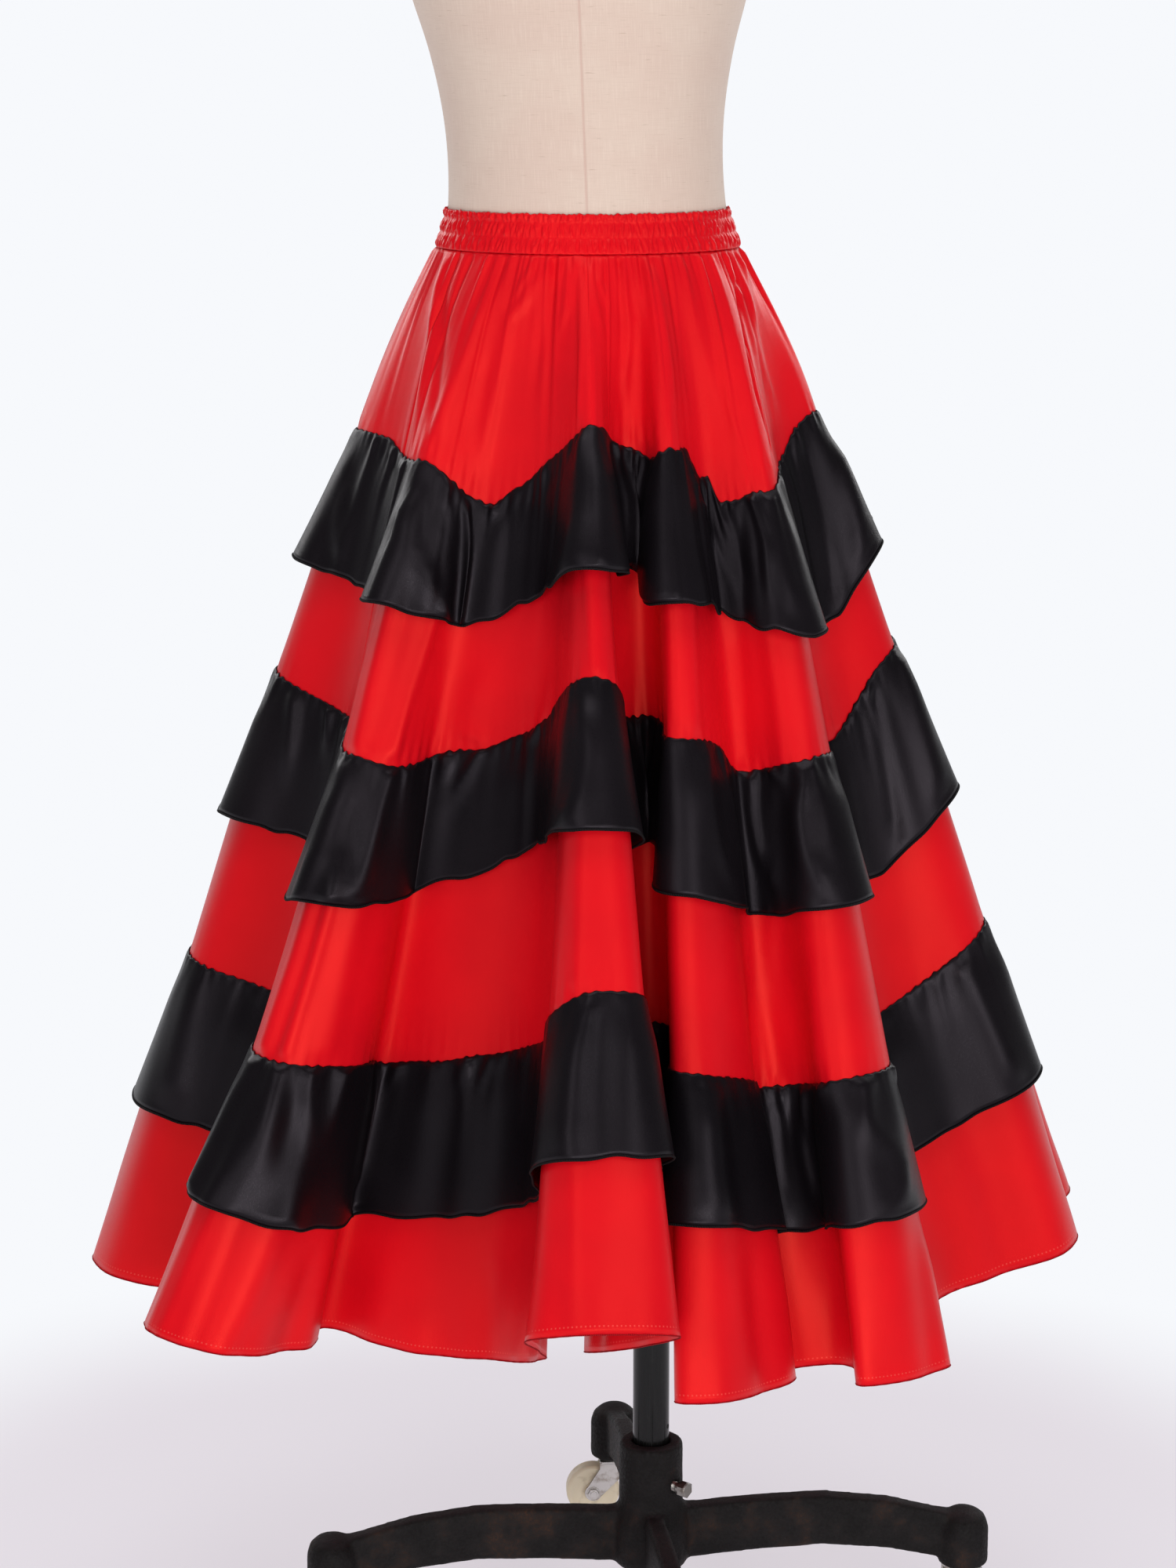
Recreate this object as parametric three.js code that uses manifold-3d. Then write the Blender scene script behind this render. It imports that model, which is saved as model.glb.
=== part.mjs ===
// Flamenco skirt on a limbless dress form with a rolling cast-iron stand.
// Millimetres, +Z up. The wearer's front faces -Y and the wearer's left is +X.
import * as THREE from 'three';
import { mergeVertices } from 'three/addons/utils/BufferGeometryUtils.js';
import Module from 'manifold-3d';

const wasm = await Module();
wasm.setup();

// ---------------------------------------------------------------- skirt sizes
const BAND_TOP_Z = 1228;          // top of the elastic waistband above the floor
const BAND_BOTTOM_Z = 1193;       // where the skirt is gathered into the band
const BAND_BOTTOM_HALF = [121.5, 95.5];  // half width, half depth of its lower edge
const BAND_SPREAD = 1.5;          // the elastic holds its upper part close to the form
const BAND_WALL = 1.6;
const BAND_PUCKERS = 76;          // shirred ribs raised in the band's face
const BAND_PUCKER_RISE = 1.5;
const SHIRR_ROWS = [0, 0.24, 0.62, 1];   // heights along the band, top to bottom
const SHIRR_RISE = [1, 0.2, 1, 0.3];     // share of the rise at each height
const WAIST_HALF = [121, 95];
const SKIRT_LENGTH = 880;         // along the cloth from the band to the hem
const CLOTH_WALL = 1.6;
const SEAM_GAP = 0.3;
const HIP_FULLNESS = 11;          // the gathers puff out below the band
const HEM_ROLL = 1.0;             // extra half thickness of the rolled hem
const SIDE_SEAMS = [-62, 63];     // degrees round the waist from the front centre
const SKIRT_ROWS = [0, 36, 100, 168, 382, 618, 870, 880];
const SKIRT_COLUMNS = 118;
const SEAM_COLUMN_ROOM = 12;

// Three gathered ruffles: where the top edge is sewn (along the cloth), how deep
// the ruffle is on a fold, the share of that depth in a valley, where it is drawn
// up, and how far its lower edge stands off on a fold and in a valley.
const RUFFLES = [
  { name: 'ruffle_upper', seam: 168, depth: 123, drawn: 0.76, flare: 15, tucked: 3.5 },
  { name: 'ruffle_middle', seam: 382, depth: 125, drawn: 0.76, flare: 9, tucked: 3 },
  { name: 'ruffle_lower', seam: 618, depth: 128, drawn: 0.98, flare: 6, tucked: 2.6 },
];
const RUFFLE_WALL = 1.5;
const RUFFLE_ROWS = [0, 0.5, 1];
const RUFFLE_GATHER = [0.8, 1.8, 1.4];   // rise of the gathers in each of those rows

// One row for each hanging fold, round the hem from the wearer's right side.
// waist: where the fold starts at the band; crest, reach: direction and distance
// of its crest at the hem; half: half width of the lobe; root, neck: direction
// and half width of its foot; pinch: how much narrower it is higher up; billow:
// how far it stands out half way down; valley, dip, flat: direction, distance and
// half width of the valley after it. lift and sag: how much the crest and the
// valley are drawn up at each of LIFT_LEVELS.
const LIFT_LEVELS = [168, 382, 618, 880];
const FOLDS = [
  { waist: -91, crest: -94, reach: 423, half: 62, root: -91, neck: 52, pinch: 0, billow: 1, lift: [21, 20, 3, -24], valley: -71, dip: 306, flat: 14, sag: [0, 0, -5, -4] },
  { waist: -46, crest: -56.5, reach: 412, half: 40, root: -57, neck: 36, pinch: 0.1, billow: -6, lift: [12, -24, -36, -7], valley: -41, dip: 218, flat: 84, sag: [-23, -3, -12, 0] },
  { waist: 0, crest: 2, reach: 416, half: 56, root: -3.5, neck: 14, pinch: 0.5, billow: 2, lift: [26, 47, 46, 52], valley: 19.5, dip: 168, flat: 16, sag: [30, 24, 12, 18] },
  { waist: 28, crest: 16.5, reach: 352, half: 29, root: 28, neck: 22, pinch: 0.1, billow: 4, lift: [28, 8, -18, -5], valley: 34.5, dip: 283, flat: 14, sag: [-38, -22, -37, 2] },
  { waist: 58, crest: 42.5, reach: 382, half: 48, root: 48, neck: 42, pinch: 0.1, billow: 20, lift: [-4, -30, -33, -12], valley: 74, dip: 296, flat: 14, sag: [-4, -4, -10, 0] },
  { waist: 85, crest: 91, reach: 414, half: 44, root: 89, neck: 36, pinch: 0.1, billow: 4, lift: [30, 32, 31, 2], valley: 100, dip: 340, flat: 10, sag: [22, 22, 18, 0] },
  { waist: 103, crest: 110, reach: 444, half: 44, root: 112, neck: 38, pinch: 0.1, billow: 6, lift: [25, 25, 4, -10], valley: 128, dip: 282, flat: 16, sag: [-12, -12, -8, -2] },
  { waist: 138, crest: 146, reach: 410, half: 50, root: 145, neck: 40, pinch: 0.2, billow: 4, lift: [12, 8, 2, -6], valley: 162, dip: 232, flat: 22, sag: [-20, -18, -10, 2] },
  { waist: 178, crest: 180, reach: 398, half: 52, root: 181, neck: 38, pinch: 0.3, billow: 2, lift: [24, 30, 26, 18], valley: 199, dip: 214, flat: 14, sag: [-4, -8, -2, 6] },
  { waist: 212, crest: 214, reach: 404, half: 44, root: 213, neck: 36, pinch: 0.2, billow: 4, lift: [10, 4, -4, -4], valley: 229, dip: 262, flat: 16, sag: [-20, -18, -12, 0] },
  { waist: 243, crest: 243, reach: 412, half: 42, root: 243, neck: 38, pinch: 0.1, billow: 4, lift: [16, 10, 0, -10], valley: 255, dip: 318, flat: 14, sag: [-4, -6, -6, -2] },
];
const FOLD_SOFTNESS = [5, 75];    // averaging width at the hem, and added at the band
const NECK_AT = 0.64;             // a fold's neck lies at this share of its reach
const NECK_OVER_VALLEY = 0.38;    // and at least this far from the valley to the crest
const SHOULDER_DROP = 0.36;       // shoulders of the lobe, in half widths below the crest

// ------------------------------------------------------------ dress form sizes
const LEAN = -0.038;              // the form leans a little to the wearer's right
// One row for each section, from the flat bottom up to the neck.
const FORM_SECTIONS = [
  { z: 905, half: 146, front: 84, back: 96, square: 2.2 },
  { z: 912, half: 150, front: 87, back: 100, square: 2.2 },
  { z: 965, half: 158, front: 93, back: 107, square: 2.2 },
  { z: 1018, half: 159, front: 94, back: 108, square: 2.2 },
  { z: 1070, half: 152, front: 92, back: 105, square: 2.2 },
  { z: 1125, half: 137, front: 88, back: 98, square: 2.15 },
  { z: 1175, half: 120.5, front: 86, back: 91, square: 2.1 },
  { z: 1205, half: 114.5, front: 86, back: 87, square: 2.05 },
  { z: 1236, half: 111, front: 87, back: 85, square: 2.05 },
  { z: 1290, half: 111, front: 94, back: 91, square: 2.1 },
  { z: 1350, half: 120.5, front: 106, back: 100, square: 2.15 },
  { z: 1398, half: 134, front: 117, back: 103, square: 2.2 },
  { z: 1450, half: 147, front: 110, back: 103, square: 2.25 },
  { z: 1510, half: 163, front: 91, back: 100, square: 2.35 },
  { z: 1555, half: 170, front: 74, back: 92, square: 2.4 },
  { z: 1580, half: 157, front: 62, back: 80, square: 2.2 },
  { z: 1602, half: 116, front: 54, back: 70, square: 2.0 },
  { z: 1622, half: 76, front: 50, back: 62, square: 2.0 },
  { z: 1642, half: 60, front: 50, back: 57, square: 2.0 },
  { z: 1692, half: 54, front: 49, back: 52, square: 2.0 },
  { z: 1697, half: 50, front: 45, back: 48, square: 2.0 },
];
const FORM_SIDES = 36;

// ----------------------------------------------------------------- stand sizes
const POLE_X = 54;                // the pole stands beside the skirt's axis
const POLE_Y = -7;
const POLE_R = 15.5;
const POLE_SIDES = 20;
const FIT = 0.35;                 // running and seating clearance
const SOCKET_DEPTH = 60;          // the pole's socket up into the form
const HUB_FLOOR_Z = 82;
const HUB_TOP_Z = 183;
const HUB_R = 27.5;
const SCREW_Z = 147;
const SCREW_TURN = 50;            // degrees from the front towards +X
const SCREW_R = 4.5;
const SCREW_HEAD_R = 7.5;
const BASE_TURN = 6.2;            // the legs' cross is turned by this
const LEG_REACH = 274;            // hub axis to caster axis
const LEG_THICK = 17;
const CAP_R = 22;
const CAP_BOTTOM_Z = 58;
const CAP_TOP_Z = 109;
// Leg's side profile: distance out from the hub axis, lower and upper edge.
const LEG_PROFILE = [
  { out: 12, low: 76, high: 124 },
  { out: 40, low: 76, high: 124 },
  { out: 90, low: 80, high: 127 },
  { out: 150, low: 82, high: 128 },
  { out: 205, low: 76, high: 121 },
  { out: 250, low: 66, high: 109 },
  { out: 274, low: 62, high: 104 },
];
// Each caster: the turn of its leg and the direction in which its wheel trails.
const CASTERS = [
  { name: 'left', turn: 180, trail: 158 },
  { name: 'right', turn: 0, trail: 205 },
  { name: 'far', turn: 90, trail: 183 },
  { name: 'near', turn: 270, trail: 28 },
];
const WHEEL_R = 25;               // to the flats of the faceted tread
const WHEEL_WIDTH = 18;
const WHEEL_SIDES = 18;
const CASTER_TRAIL = 20;
const AXLE_R = 3.2;
const FORK_INSIDE = WHEEL_WIDTH / 2 + 1.2;
const FORK_PLATE = 2.6;
const CROWN_Z = 52.5;
const STEM_R = 5;
const STEM_TOP_Z = 82;

// -------------------------------------------------------------------- helpers
const rad = (degrees) => degrees * Math.PI / 180;
const lerp = (a, b, t) => a + (b - a) * t;
const smooth = (t) => { const c = Math.min(1, Math.max(0, t)); return c * c * (3 - 2 * c); };
const towards = (degrees) => new THREE.Vector2(Math.sin(rad(degrees)), -Math.cos(rad(degrees)));
const across = (degrees) => new THREE.Vector2(Math.cos(rad(degrees)), Math.sin(rad(degrees)));

function toSolid(geometry) {
  const plain = geometry.clone();
  for (const key of Object.keys(plain.attributes)) if (key !== 'position') plain.deleteAttribute(key);
  const merged = mergeVertices(plain, 1e-3);
  return new wasm.Manifold(new wasm.Mesh({
    numProp: 3,
    vertProperties: new Float32Array(merged.attributes.position.array),
    triVerts: new Uint32Array(merged.index.array),
  }));
}

function fromSolid(solid) {
  const mesh = solid.getMesh();
  const geometry = new THREE.BufferGeometry();
  geometry.setAttribute('position', new THREE.Float32BufferAttribute(mesh.vertProperties, 3));
  geometry.setIndex(Array.from(mesh.triVerts));
  return geometry;
}

const join = (...geometries) => fromSolid(geometries.map(toSolid).reduce((a, b) => a.add(b)));
const cut = (geometry, ...tools) => fromSolid(tools.map(toSolid).reduce((a, b) => a.subtract(b), toSolid(geometry)));

// A cylinder standing along Z from z0 to z1.
function rod(radius, z0, z1, sides = 24, x = 0, y = 0, topRadius = radius) {
  const geometry = new THREE.CylinderGeometry(topRadius, radius, z1 - z0, sides);
  geometry.rotateX(Math.PI / 2);
  geometry.translate(x, y, (z0 + z1) / 2);
  return geometry;
}

// A solid of revolution about Z from a profile of [radius, z] pairs, bottom to top.
function turned(profile, sides = 32) {
  const geometry = new THREE.LatheGeometry(profile.map(([r, z]) => new THREE.Vector2(r, z)), sides);
  geometry.rotateX(Math.PI / 2);
  return geometry;
}

// A closed body between two sheets of points: outer[row][column] and inner.
// A ring closes on itself round the columns, a panel has two side edges. Each
// four-point cell is creased along the diagonal that lies further out (bulge 1)
// or further in (bulge -1), so that a layer over another one stays off it.
function wallBetween(outer, inner, ring, bulge = 1) {
  const rows = outer.length;
  const columns = outer[0].length;
  const positions = [];
  for (const sheet of [outer, inner]) for (const row of sheet) for (const p of row) positions.push(p.x, p.y, p.z);
  const at = (side, r, c) => side * rows * columns + r * columns + (c % columns);
  const index = [];
  const quad = (a, b, c, d) => index.push(a, b, c, a, c, d);
  const last = ring ? columns : columns - 1;
  for (let c = 0; c < last; c += 1) {
    for (let r = 0; r < rows - 1; r += 1) {
      const [p, q] = [outer[r][c], outer[r + 1][c]];
      const [s, t] = [outer[r + 1][(c + 1) % columns], outer[r][(c + 1) % columns]];
      const face = q.clone().sub(t).cross(s.clone().sub(p));
      const out = p.clone().add(s).sub(q).sub(t).dot(face) > 0;
      if (out === (bulge > 0)) {
        quad(at(0, r, c), at(0, r + 1, c), at(0, r + 1, c + 1), at(0, r, c + 1));
        quad(at(1, r + 1, c + 1), at(1, r + 1, c), at(1, r, c), at(1, r, c + 1));
      } else {
        quad(at(0, r + 1, c), at(0, r + 1, c + 1), at(0, r, c + 1), at(0, r, c));
        quad(at(1, r, c + 1), at(1, r + 1, c + 1), at(1, r + 1, c), at(1, r, c));
      }
    }
    quad(at(0, 0, c), at(0, 0, c + 1), at(1, 0, c + 1), at(1, 0, c));
    quad(at(0, rows - 1, c), at(1, rows - 1, c), at(1, rows - 1, c + 1), at(0, rows - 1, c + 1));
  }
  if (!ring) {
    for (let r = 0; r < rows - 1; r += 1) {
      quad(at(0, r, 0), at(1, r, 0), at(1, r + 1, 0), at(0, r + 1, 0));
      quad(at(0, r, last), at(0, r + 1, last), at(1, r + 1, last), at(1, r, last));
    }
  }
  const geometry = new THREE.BufferGeometry();
  geometry.setAttribute('position', new THREE.Float32BufferAttribute(positions, 3));
  geometry.setIndex(index);
  return geometry;
}

// --------------------------------------------------------- the skirt's surface
// The hem's outline from above: a closed curve through each fold's crest,
// shoulders and neck and through the valleys between the folds.
const count = FOLDS.length;
const hemKnots = [];
// A neck stands outside the valley beside it, on the side given by sign.
function neckPoint(fold, valley, sign) {
  const radius = Math.max(fold.reach * NECK_AT, lerp(valley.dip, fold.reach, NECK_OVER_VALLEY));
  return towards(fold.root).multiplyScalar(radius).addScaledVector(across(fold.root), sign * fold.neck);
}
FOLDS.forEach((fold, i) => {
  const crest = towards(fold.crest).multiplyScalar(fold.reach);
  const shoulder = towards(fold.crest).multiplyScalar(fold.reach - SHOULDER_DROP * fold.half);
  const side = across(fold.crest);
  const knot = (p, dx = 0, kind = '') => hemKnots.push({ p: p.clone().addScaledVector(side, dx), kind, fold: i });
  hemKnots.push({ p: neckPoint(fold, FOLDS[(i + count - 1) % count], -1), kind: 'neck', fold: i });
  knot(shoulder, -fold.half, 'shoulder');
  knot(crest, 0, 'crest');
  knot(shoulder, fold.half, 'shoulder');
  const thisNeck = neckPoint(fold, fold, 1);
  const nextNeck = neckPoint(FOLDS[(i + 1) % count], fold, -1);
  hemKnots.push({ p: thisNeck, kind: 'neck', fold: i });
  const along = nextNeck.clone().sub(thisNeck).normalize();
  const middle = towards(fold.valley).multiplyScalar(fold.dip);
  hemKnots.push({ p: middle.clone().addScaledVector(along, -fold.flat), kind: 'floor', fold: i });
  hemKnots.push({ p: middle.clone(), kind: 'valley', fold: i });
  hemKnots.push({ p: middle.clone().addScaledVector(along, fold.flat), kind: 'floor', fold: i });
});
const hemCurve = new THREE.CatmullRomCurve3(hemKnots.map((k) => new THREE.Vector3(k.p.x, k.p.y, 0)), true, 'centripetal');
const PER_KNOT = 24;
const DENSE = hemKnots.length * PER_KNOT;
const dense = [];
for (let i = 0; i < DENSE; i += 1) dense.push(hemCurve.getPoint(i / DENSE));
const arc = [0];
for (let i = 1; i <= DENSE; i += 1) arc.push(arc[i - 1] + dense[i % DENSE].distanceTo(dense[i - 1]));
const HEM_ROUND = arc[DENSE];

// Distance round the hem of every crest and valley, with the values it carries.
const stations = [];
hemKnots.forEach((knot, k) => {
  const fold = FOLDS[knot.fold];
  const round = arc[k * PER_KNOT];
  if (knot.kind === 'crest') stations.push({ round, waist: fold.waist, lifts: fold.lift, open: 1, pinch: fold.pinch, billow: fold.billow });
  if (knot.kind === 'valley') stations.push({ round, waist: null, lifts: fold.sag, open: 0, pinch: 0, billow: 0 });
});
const crests = stations.filter((s) => s.waist !== null);

function between(list, round, value, period = HEM_ROUND, turn = 0) {
  for (let i = 0; i < list.length; i += 1) {
    const a = list[i];
    const b = list[(i + 1) % list.length];
    const span = (b.round - a.round + period) % period || period;
    const into = (round - a.round + period) % period;
    if (into <= span) {
      const wrapped = i === list.length - 1 ? turn : 0;
      return { a: value(a), b: value(b) + wrapped, t: into / span };
    }
  }
  return { a: value(list[0]), b: value(list[0]), t: 0 };
}

function gapRound(a, b) {
  const gap = Math.abs(a - b) % HEM_ROUND;
  return Math.min(gap, HEM_ROUND - gap);
}

function waistTurn(round) {
  const { a, b, t } = between(crests, round, (s) => s.waist, HEM_ROUND, 360);
  return lerp(a, b, t);
}
function carried(round, value) {
  const { a, b, t } = between(stations, round, value);
  return lerp(a, b, smooth(t));
}
const openness = (round) => carried(round, (s) => s.open);

// How much the cloth is drawn up at a place: nothing at the band, then by the levels.
function lifted(round, down) {
  const at = (i) => carried(round, (s) => s.lifts[i]);
  if (down <= LIFT_LEVELS[0]) return at(0) * smooth(down / LIFT_LEVELS[0]);
  let i = 0;
  while (i < LIFT_LEVELS.length - 2 && LIFT_LEVELS[i + 1] <= down) i += 1;
  return lerp(at(i), at(i + 1), (down - LIFT_LEVELS[i]) / (LIFT_LEVELS[i + 1] - LIFT_LEVELS[i]));
}

// Folds are soft where the cloth leaves the band and sharpen towards the hem, so
// a level above the hem follows the hem's outline averaged over a width.
const softened = new Map();
function outlineAt(down) {
  const width = FOLD_SOFTNESS[0] + FOLD_SOFTNESS[1] * Math.pow(Math.max(0, 1 - down / SKIRT_LENGTH), 1.6);
  const key = Math.round(width * 4);
  if (softened.has(key)) return softened.get(key);
  const list = dense.map((_, i) => {
    const sum = new THREE.Vector3();
    let total = 0;
    for (const step of [1, -1]) {
      for (let k = step > 0 ? 0 : -1; Math.abs(k) < DENSE / 2; k += step) {
        const j = (i + k + DENSE) % DENSE;
        let gap = Math.abs(arc[j] - arc[i]);
        gap = Math.min(gap, HEM_ROUND - gap);
        if (gap > 2.6 * width) break;
        const share = Math.exp(-0.5 * (gap / width) ** 2) * (arc[j + 1] - arc[j]);
        sum.addScaledVector(dense[j], share);
        total += share;
      }
    }
    return sum.multiplyScalar(1 / total);
  });
  softened.set(key, list);
  return list;
}

function hemPoint(round, down) {
  const outline = outlineAt(down);
  const r = ((round % HEM_ROUND) + HEM_ROUND) % HEM_ROUND;
  let lo = 0;
  let hi = DENSE;
  while (hi - lo > 1) { const mid = (lo + hi) >> 1; if (arc[mid] <= r) lo = mid; else hi = mid; }
  const t = (r - arc[lo]) / (arc[lo + 1] - arc[lo]);
  return outline[lo].clone().lerp(outline[(lo + 1) % DENSE], t);
}

function waistPoint(degrees, half = WAIST_HALF) {
  // The direction on the ellipse is kept true, so a turn reads as it looks from above.
  const d = towards(degrees);
  const k = 1 / Math.hypot(d.x / half[0], d.y / half[1]);
  return new THREE.Vector3(d.x * k, d.y * k, 0);
}

// A point of the cloth: round = distance round the hem, down = distance from the band.
function clothPoint(round, down) {
  const top = waistPoint(waistTurn(round));
  const low = hemPoint(round, down);
  const t = down / SKIRT_LENGTH;
  const p = top.clone().lerp(low, t);
  const puff = HIP_FULLNESS * (1 - Math.exp(-down / 38)) * Math.max(0, 1 - down / 640);
  const out = new THREE.Vector3(p.x, p.y, 0).normalize();
  p.addScaledVector(out, puff + carried(round, (s) => s.billow) * 4 * t * (1 - t));
  const narrow = carried(round, (s) => s.pinch) * openness(round) * Math.pow(Math.max(0, 1 - t), 0.8);
  if (narrow > 0) {
    // Draw the lobe's sides in towards the line of its nearest crest.
    const near = crests.reduce((a, b) => (gapRound(a.round, round) < gapRound(b.round, round) ? a : b));
    const line = waistPoint(near.waist).lerp(hemPoint(near.round, down), t);
    const side = hemPoint(near.round, down).setZ(0).normalize().applyAxisAngle(new THREE.Vector3(0, 0, 1), Math.PI / 2);
    p.addScaledVector(side, -narrow * p.clone().sub(line).dot(side));
  }
  const sideways = Math.hypot(p.x - top.x, p.y - top.y);
  const slack = Math.max(down - lifted(round, down), sideways + 1e-6);
  p.z = BAND_BOTTOM_Z - SEAM_GAP - Math.sqrt(slack * slack - sideways * sideways);
  return p;
}

function clothNormal(round, down) {
  const d0 = Math.max(0.5, down - 4);
  const d1 = Math.min(SKIRT_LENGTH, down + 4);
  const along = clothPoint(round + 3, down).sub(clothPoint(round - 3, down));
  const downwards = clothPoint(round, d1).sub(clothPoint(round, d0));
  return downwards.cross(along).normalize();
}

// Columns stand closer together where the hem bends more.
function columnRounds(total) {
  const weight = [0];
  for (let i = 0; i < DENSE; i += 1) {
    const a = dense[(i + DENSE - 5) % DENSE];
    const b = dense[i];
    const c = dense[(i + 5) % DENSE];
    const turn = b.clone().sub(a).angleTo(c.clone().sub(b));
    const bend = turn / (0.5 * (b.distanceTo(a) + c.distanceTo(b)) + 1e-9);
    weight.push(weight[i] + (arc[i + 1] - arc[i]) * (1 + 70 * Math.min(bend, 0.06)));
  }
  const sum = weight[DENSE];
  const list = [];
  let i = 0;
  for (let c = 0; c < total; c += 1) {
    const want = sum * c / total;
    while (weight[i + 1] < want) i += 1;
    list.push(lerp(arc[i], arc[i + 1], (want - weight[i]) / (weight[i + 1] - weight[i])));
  }
  return list;
}

function roundAtWaist(degrees) {
  // The distance round the hem whose cloth starts at this place on the waist.
  let lo = 0;
  let hi = HEM_ROUND;
  const first = waistTurn(0);
  let want = degrees;
  while (want < first) want += 360;
  const turnAt = (r) => { let w = waistTurn(r); while (w < first - 1e-6) w += 360; return w; };
  for (let i = 0; i < 50; i += 1) { const mid = (lo + hi) / 2; if (turnAt(mid) < want) lo = mid; else hi = mid; }
  return (lo + hi) / 2;
}

// Both side seams are columns, so that what is sewn over a seam follows it too.
const seamRounds = SIDE_SEAMS.map((degrees) => roundAtWaist(degrees) % HEM_ROUND);
const columns = columnRounds(SKIRT_COLUMNS)
  .filter((r) => seamRounds.every((seam) => Math.abs(r - seam) > SEAM_COLUMN_ROOM))
  .concat(seamRounds)
  .sort((a, b) => a - b);

function panel(start, stop) {
  const rounds = columns.concat(columns.map((r) => r + HEM_ROUND))
    .filter((r) => r > start - 0.01 && r < stop + 0.01);
  const outer = [];
  const inner = [];
  for (const down of SKIRT_ROWS) {
    const rolled = down > 870 ? HEM_ROLL : 0;
    const rowOuter = [];
    const rowInner = [];
    rounds.forEach((r, c) => {
      const p = clothPoint(r, down);
      if (c === 0 || c === rounds.length - 1) {
        const along = clothPoint(r + 1, down).sub(clothPoint(r - 1, down)).normalize();
        p.addScaledVector(along, (c === 0 ? 1 : -1) * SEAM_GAP / 2);
      }
      const n = clothNormal(r, down);
      if (down === 0) n.setZ(0).normalize();
      rowOuter.push(p.clone().addScaledVector(n, CLOTH_WALL / 2 + rolled));
      rowInner.push(p.clone().addScaledVector(n, -CLOTH_WALL / 2 - rolled * 0.3));
    });
    outer.push(rowOuter);
    inner.push(rowInner);
  }
  return wallBetween(outer, inner, false, -1);
}

// The outer face of the skirt's wall, straight between the rows of its points.
function facePoint(round, down) {
  const on = (row) => clothPoint(round, row).addScaledVector(clothNormal(round, row), CLOTH_WALL / 2);
  let i = 0;
  while (i < SKIRT_ROWS.length - 2 && SKIRT_ROWS[i + 1] <= down) i += 1;
  return on(SKIRT_ROWS[i]).lerp(on(SKIRT_ROWS[i + 1]), (down - SKIRT_ROWS[i]) / (SKIRT_ROWS[i + 1] - SKIRT_ROWS[i]));
}

function ruffle({ seam, depth, drawn, flare, tucked }) {
  const outer = [];
  const inner = [];
  RUFFLE_ROWS.forEach((v, row) => {
    const rowOuter = [];
    const rowInner = [];
    columns.forEach((r, c) => {
      const down = seam + v * depth * lerp(drawn, 1, openness(r));
      const open = openness(r);
      // Every other column stands out as a gather, each by its own amount.
      const gather = c % 2 ? RUFFLE_GATHER[row] * (0.55 + 0.45 * Math.sin(c * 2.3 + seam)) * (0.25 + 0.75 * open) : 0;
      const stand = SEAM_GAP + lerp(tucked, flare, open * open) * Math.pow(v, 1.15) + gather;
      const p = facePoint(r, down);
      const n = clothNormal(r, down);
      rowInner.push(p.clone().addScaledVector(n, stand));
      rowOuter.push(p.clone().addScaledVector(n, stand + RUFFLE_WALL));
    });
    outer.push(rowOuter);
    inner.push(rowInner);
  });
  return wallBetween(outer, inner, true);
}

// How far the form's faceted surface lies from the skirt's axis in a direction.
function formRadius(degrees, z) {
  let i = 0;
  while (i < FORM_SECTIONS.length - 2 && FORM_SECTIONS[i + 1].z <= z) i += 1;
  const low = formSection(FORM_SECTIONS[i]);
  const high = formSection(FORM_SECTIONS[i + 1]);
  const t = (z - FORM_SECTIONS[i].z) / (FORM_SECTIONS[i + 1].z - FORM_SECTIONS[i].z);
  const outline = low.map((p, c) => p.clone().lerp(high[c], t));
  const d = towards(degrees);
  let radius = 0;
  outline.forEach((a, c) => {
    const b = outline[(c + 1) % outline.length];
    const turn = d.x * (b.y - a.y) - d.y * (b.x - a.x);
    if (Math.abs(turn) < 1e-9) return;
    const along = (a.x * (b.y - a.y) - a.y * (b.x - a.x)) / turn;
    const share = (a.x * d.y - a.y * d.x) / turn;
    if (along > 0 && share >= -1e-9 && share <= 1 + 1e-9) radius = Math.max(radius, along);
  });
  return radius;
}

function waistband() {
  const outer = [];
  const inner = [];
  const steps = BAND_PUCKERS * 2;
  SHIRR_ROWS.forEach((t, row) => {
    const z = lerp(BAND_TOP_Z, BAND_BOTTOM_Z, t);
    const rowOuter = [];
    const rowInner = [];
    for (let c = 0; c < steps; c += 1) {
      const degrees = 360 * c / steps;
      // The puckers are uneven: some ribs stand higher than their neighbours.
      const uneven = 0.72 + 0.28 * Math.sin(c * 1.7) * Math.cos(c * 0.37 + row);
      const raised = c % 2 ? BAND_PUCKER_RISE * SHIRR_RISE[row] * uneven : 0;
      const held = formRadius(degrees, z) + SEAM_GAP + 0.05;
      const loose = waistPoint(degrees, BAND_BOTTOM_HALF).length() - BAND_WALL / 2;
      const inside = lerp(held, loose, Math.pow(t, BAND_SPREAD));
      const direction = new THREE.Vector3(towards(degrees).x, towards(degrees).y, 0);
      rowInner.push(direction.clone().multiplyScalar(inside).setZ(z));
      rowOuter.push(direction.clone().multiplyScalar(inside + BAND_WALL + raised).setZ(z + (row === 0 ? raised * 0.8 : 0)));
    }
    outer.push(rowOuter);
    inner.push(rowInner);
  });
  return wallBetween(outer, inner, true);
}

// --------------------------------------------------------------- dress form
function formSection({ z, half, front, back, square }, sides = FORM_SIDES) {
  const points = [];
  for (let c = 0; c < sides; c += 1) {
    const a = 2 * Math.PI * c / sides;
    const x = Math.sin(a);
    const y = -Math.cos(a);
    const px = Math.sign(x) * Math.pow(Math.abs(x), 2 / square) * half;
    const py = Math.sign(y) * Math.pow(Math.abs(y), 2 / square) * (y < 0 ? front : back);
    points.push(new THREE.Vector3(px + LEAN * (z - 1210), py, z));
  }
  return points;
}

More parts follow.
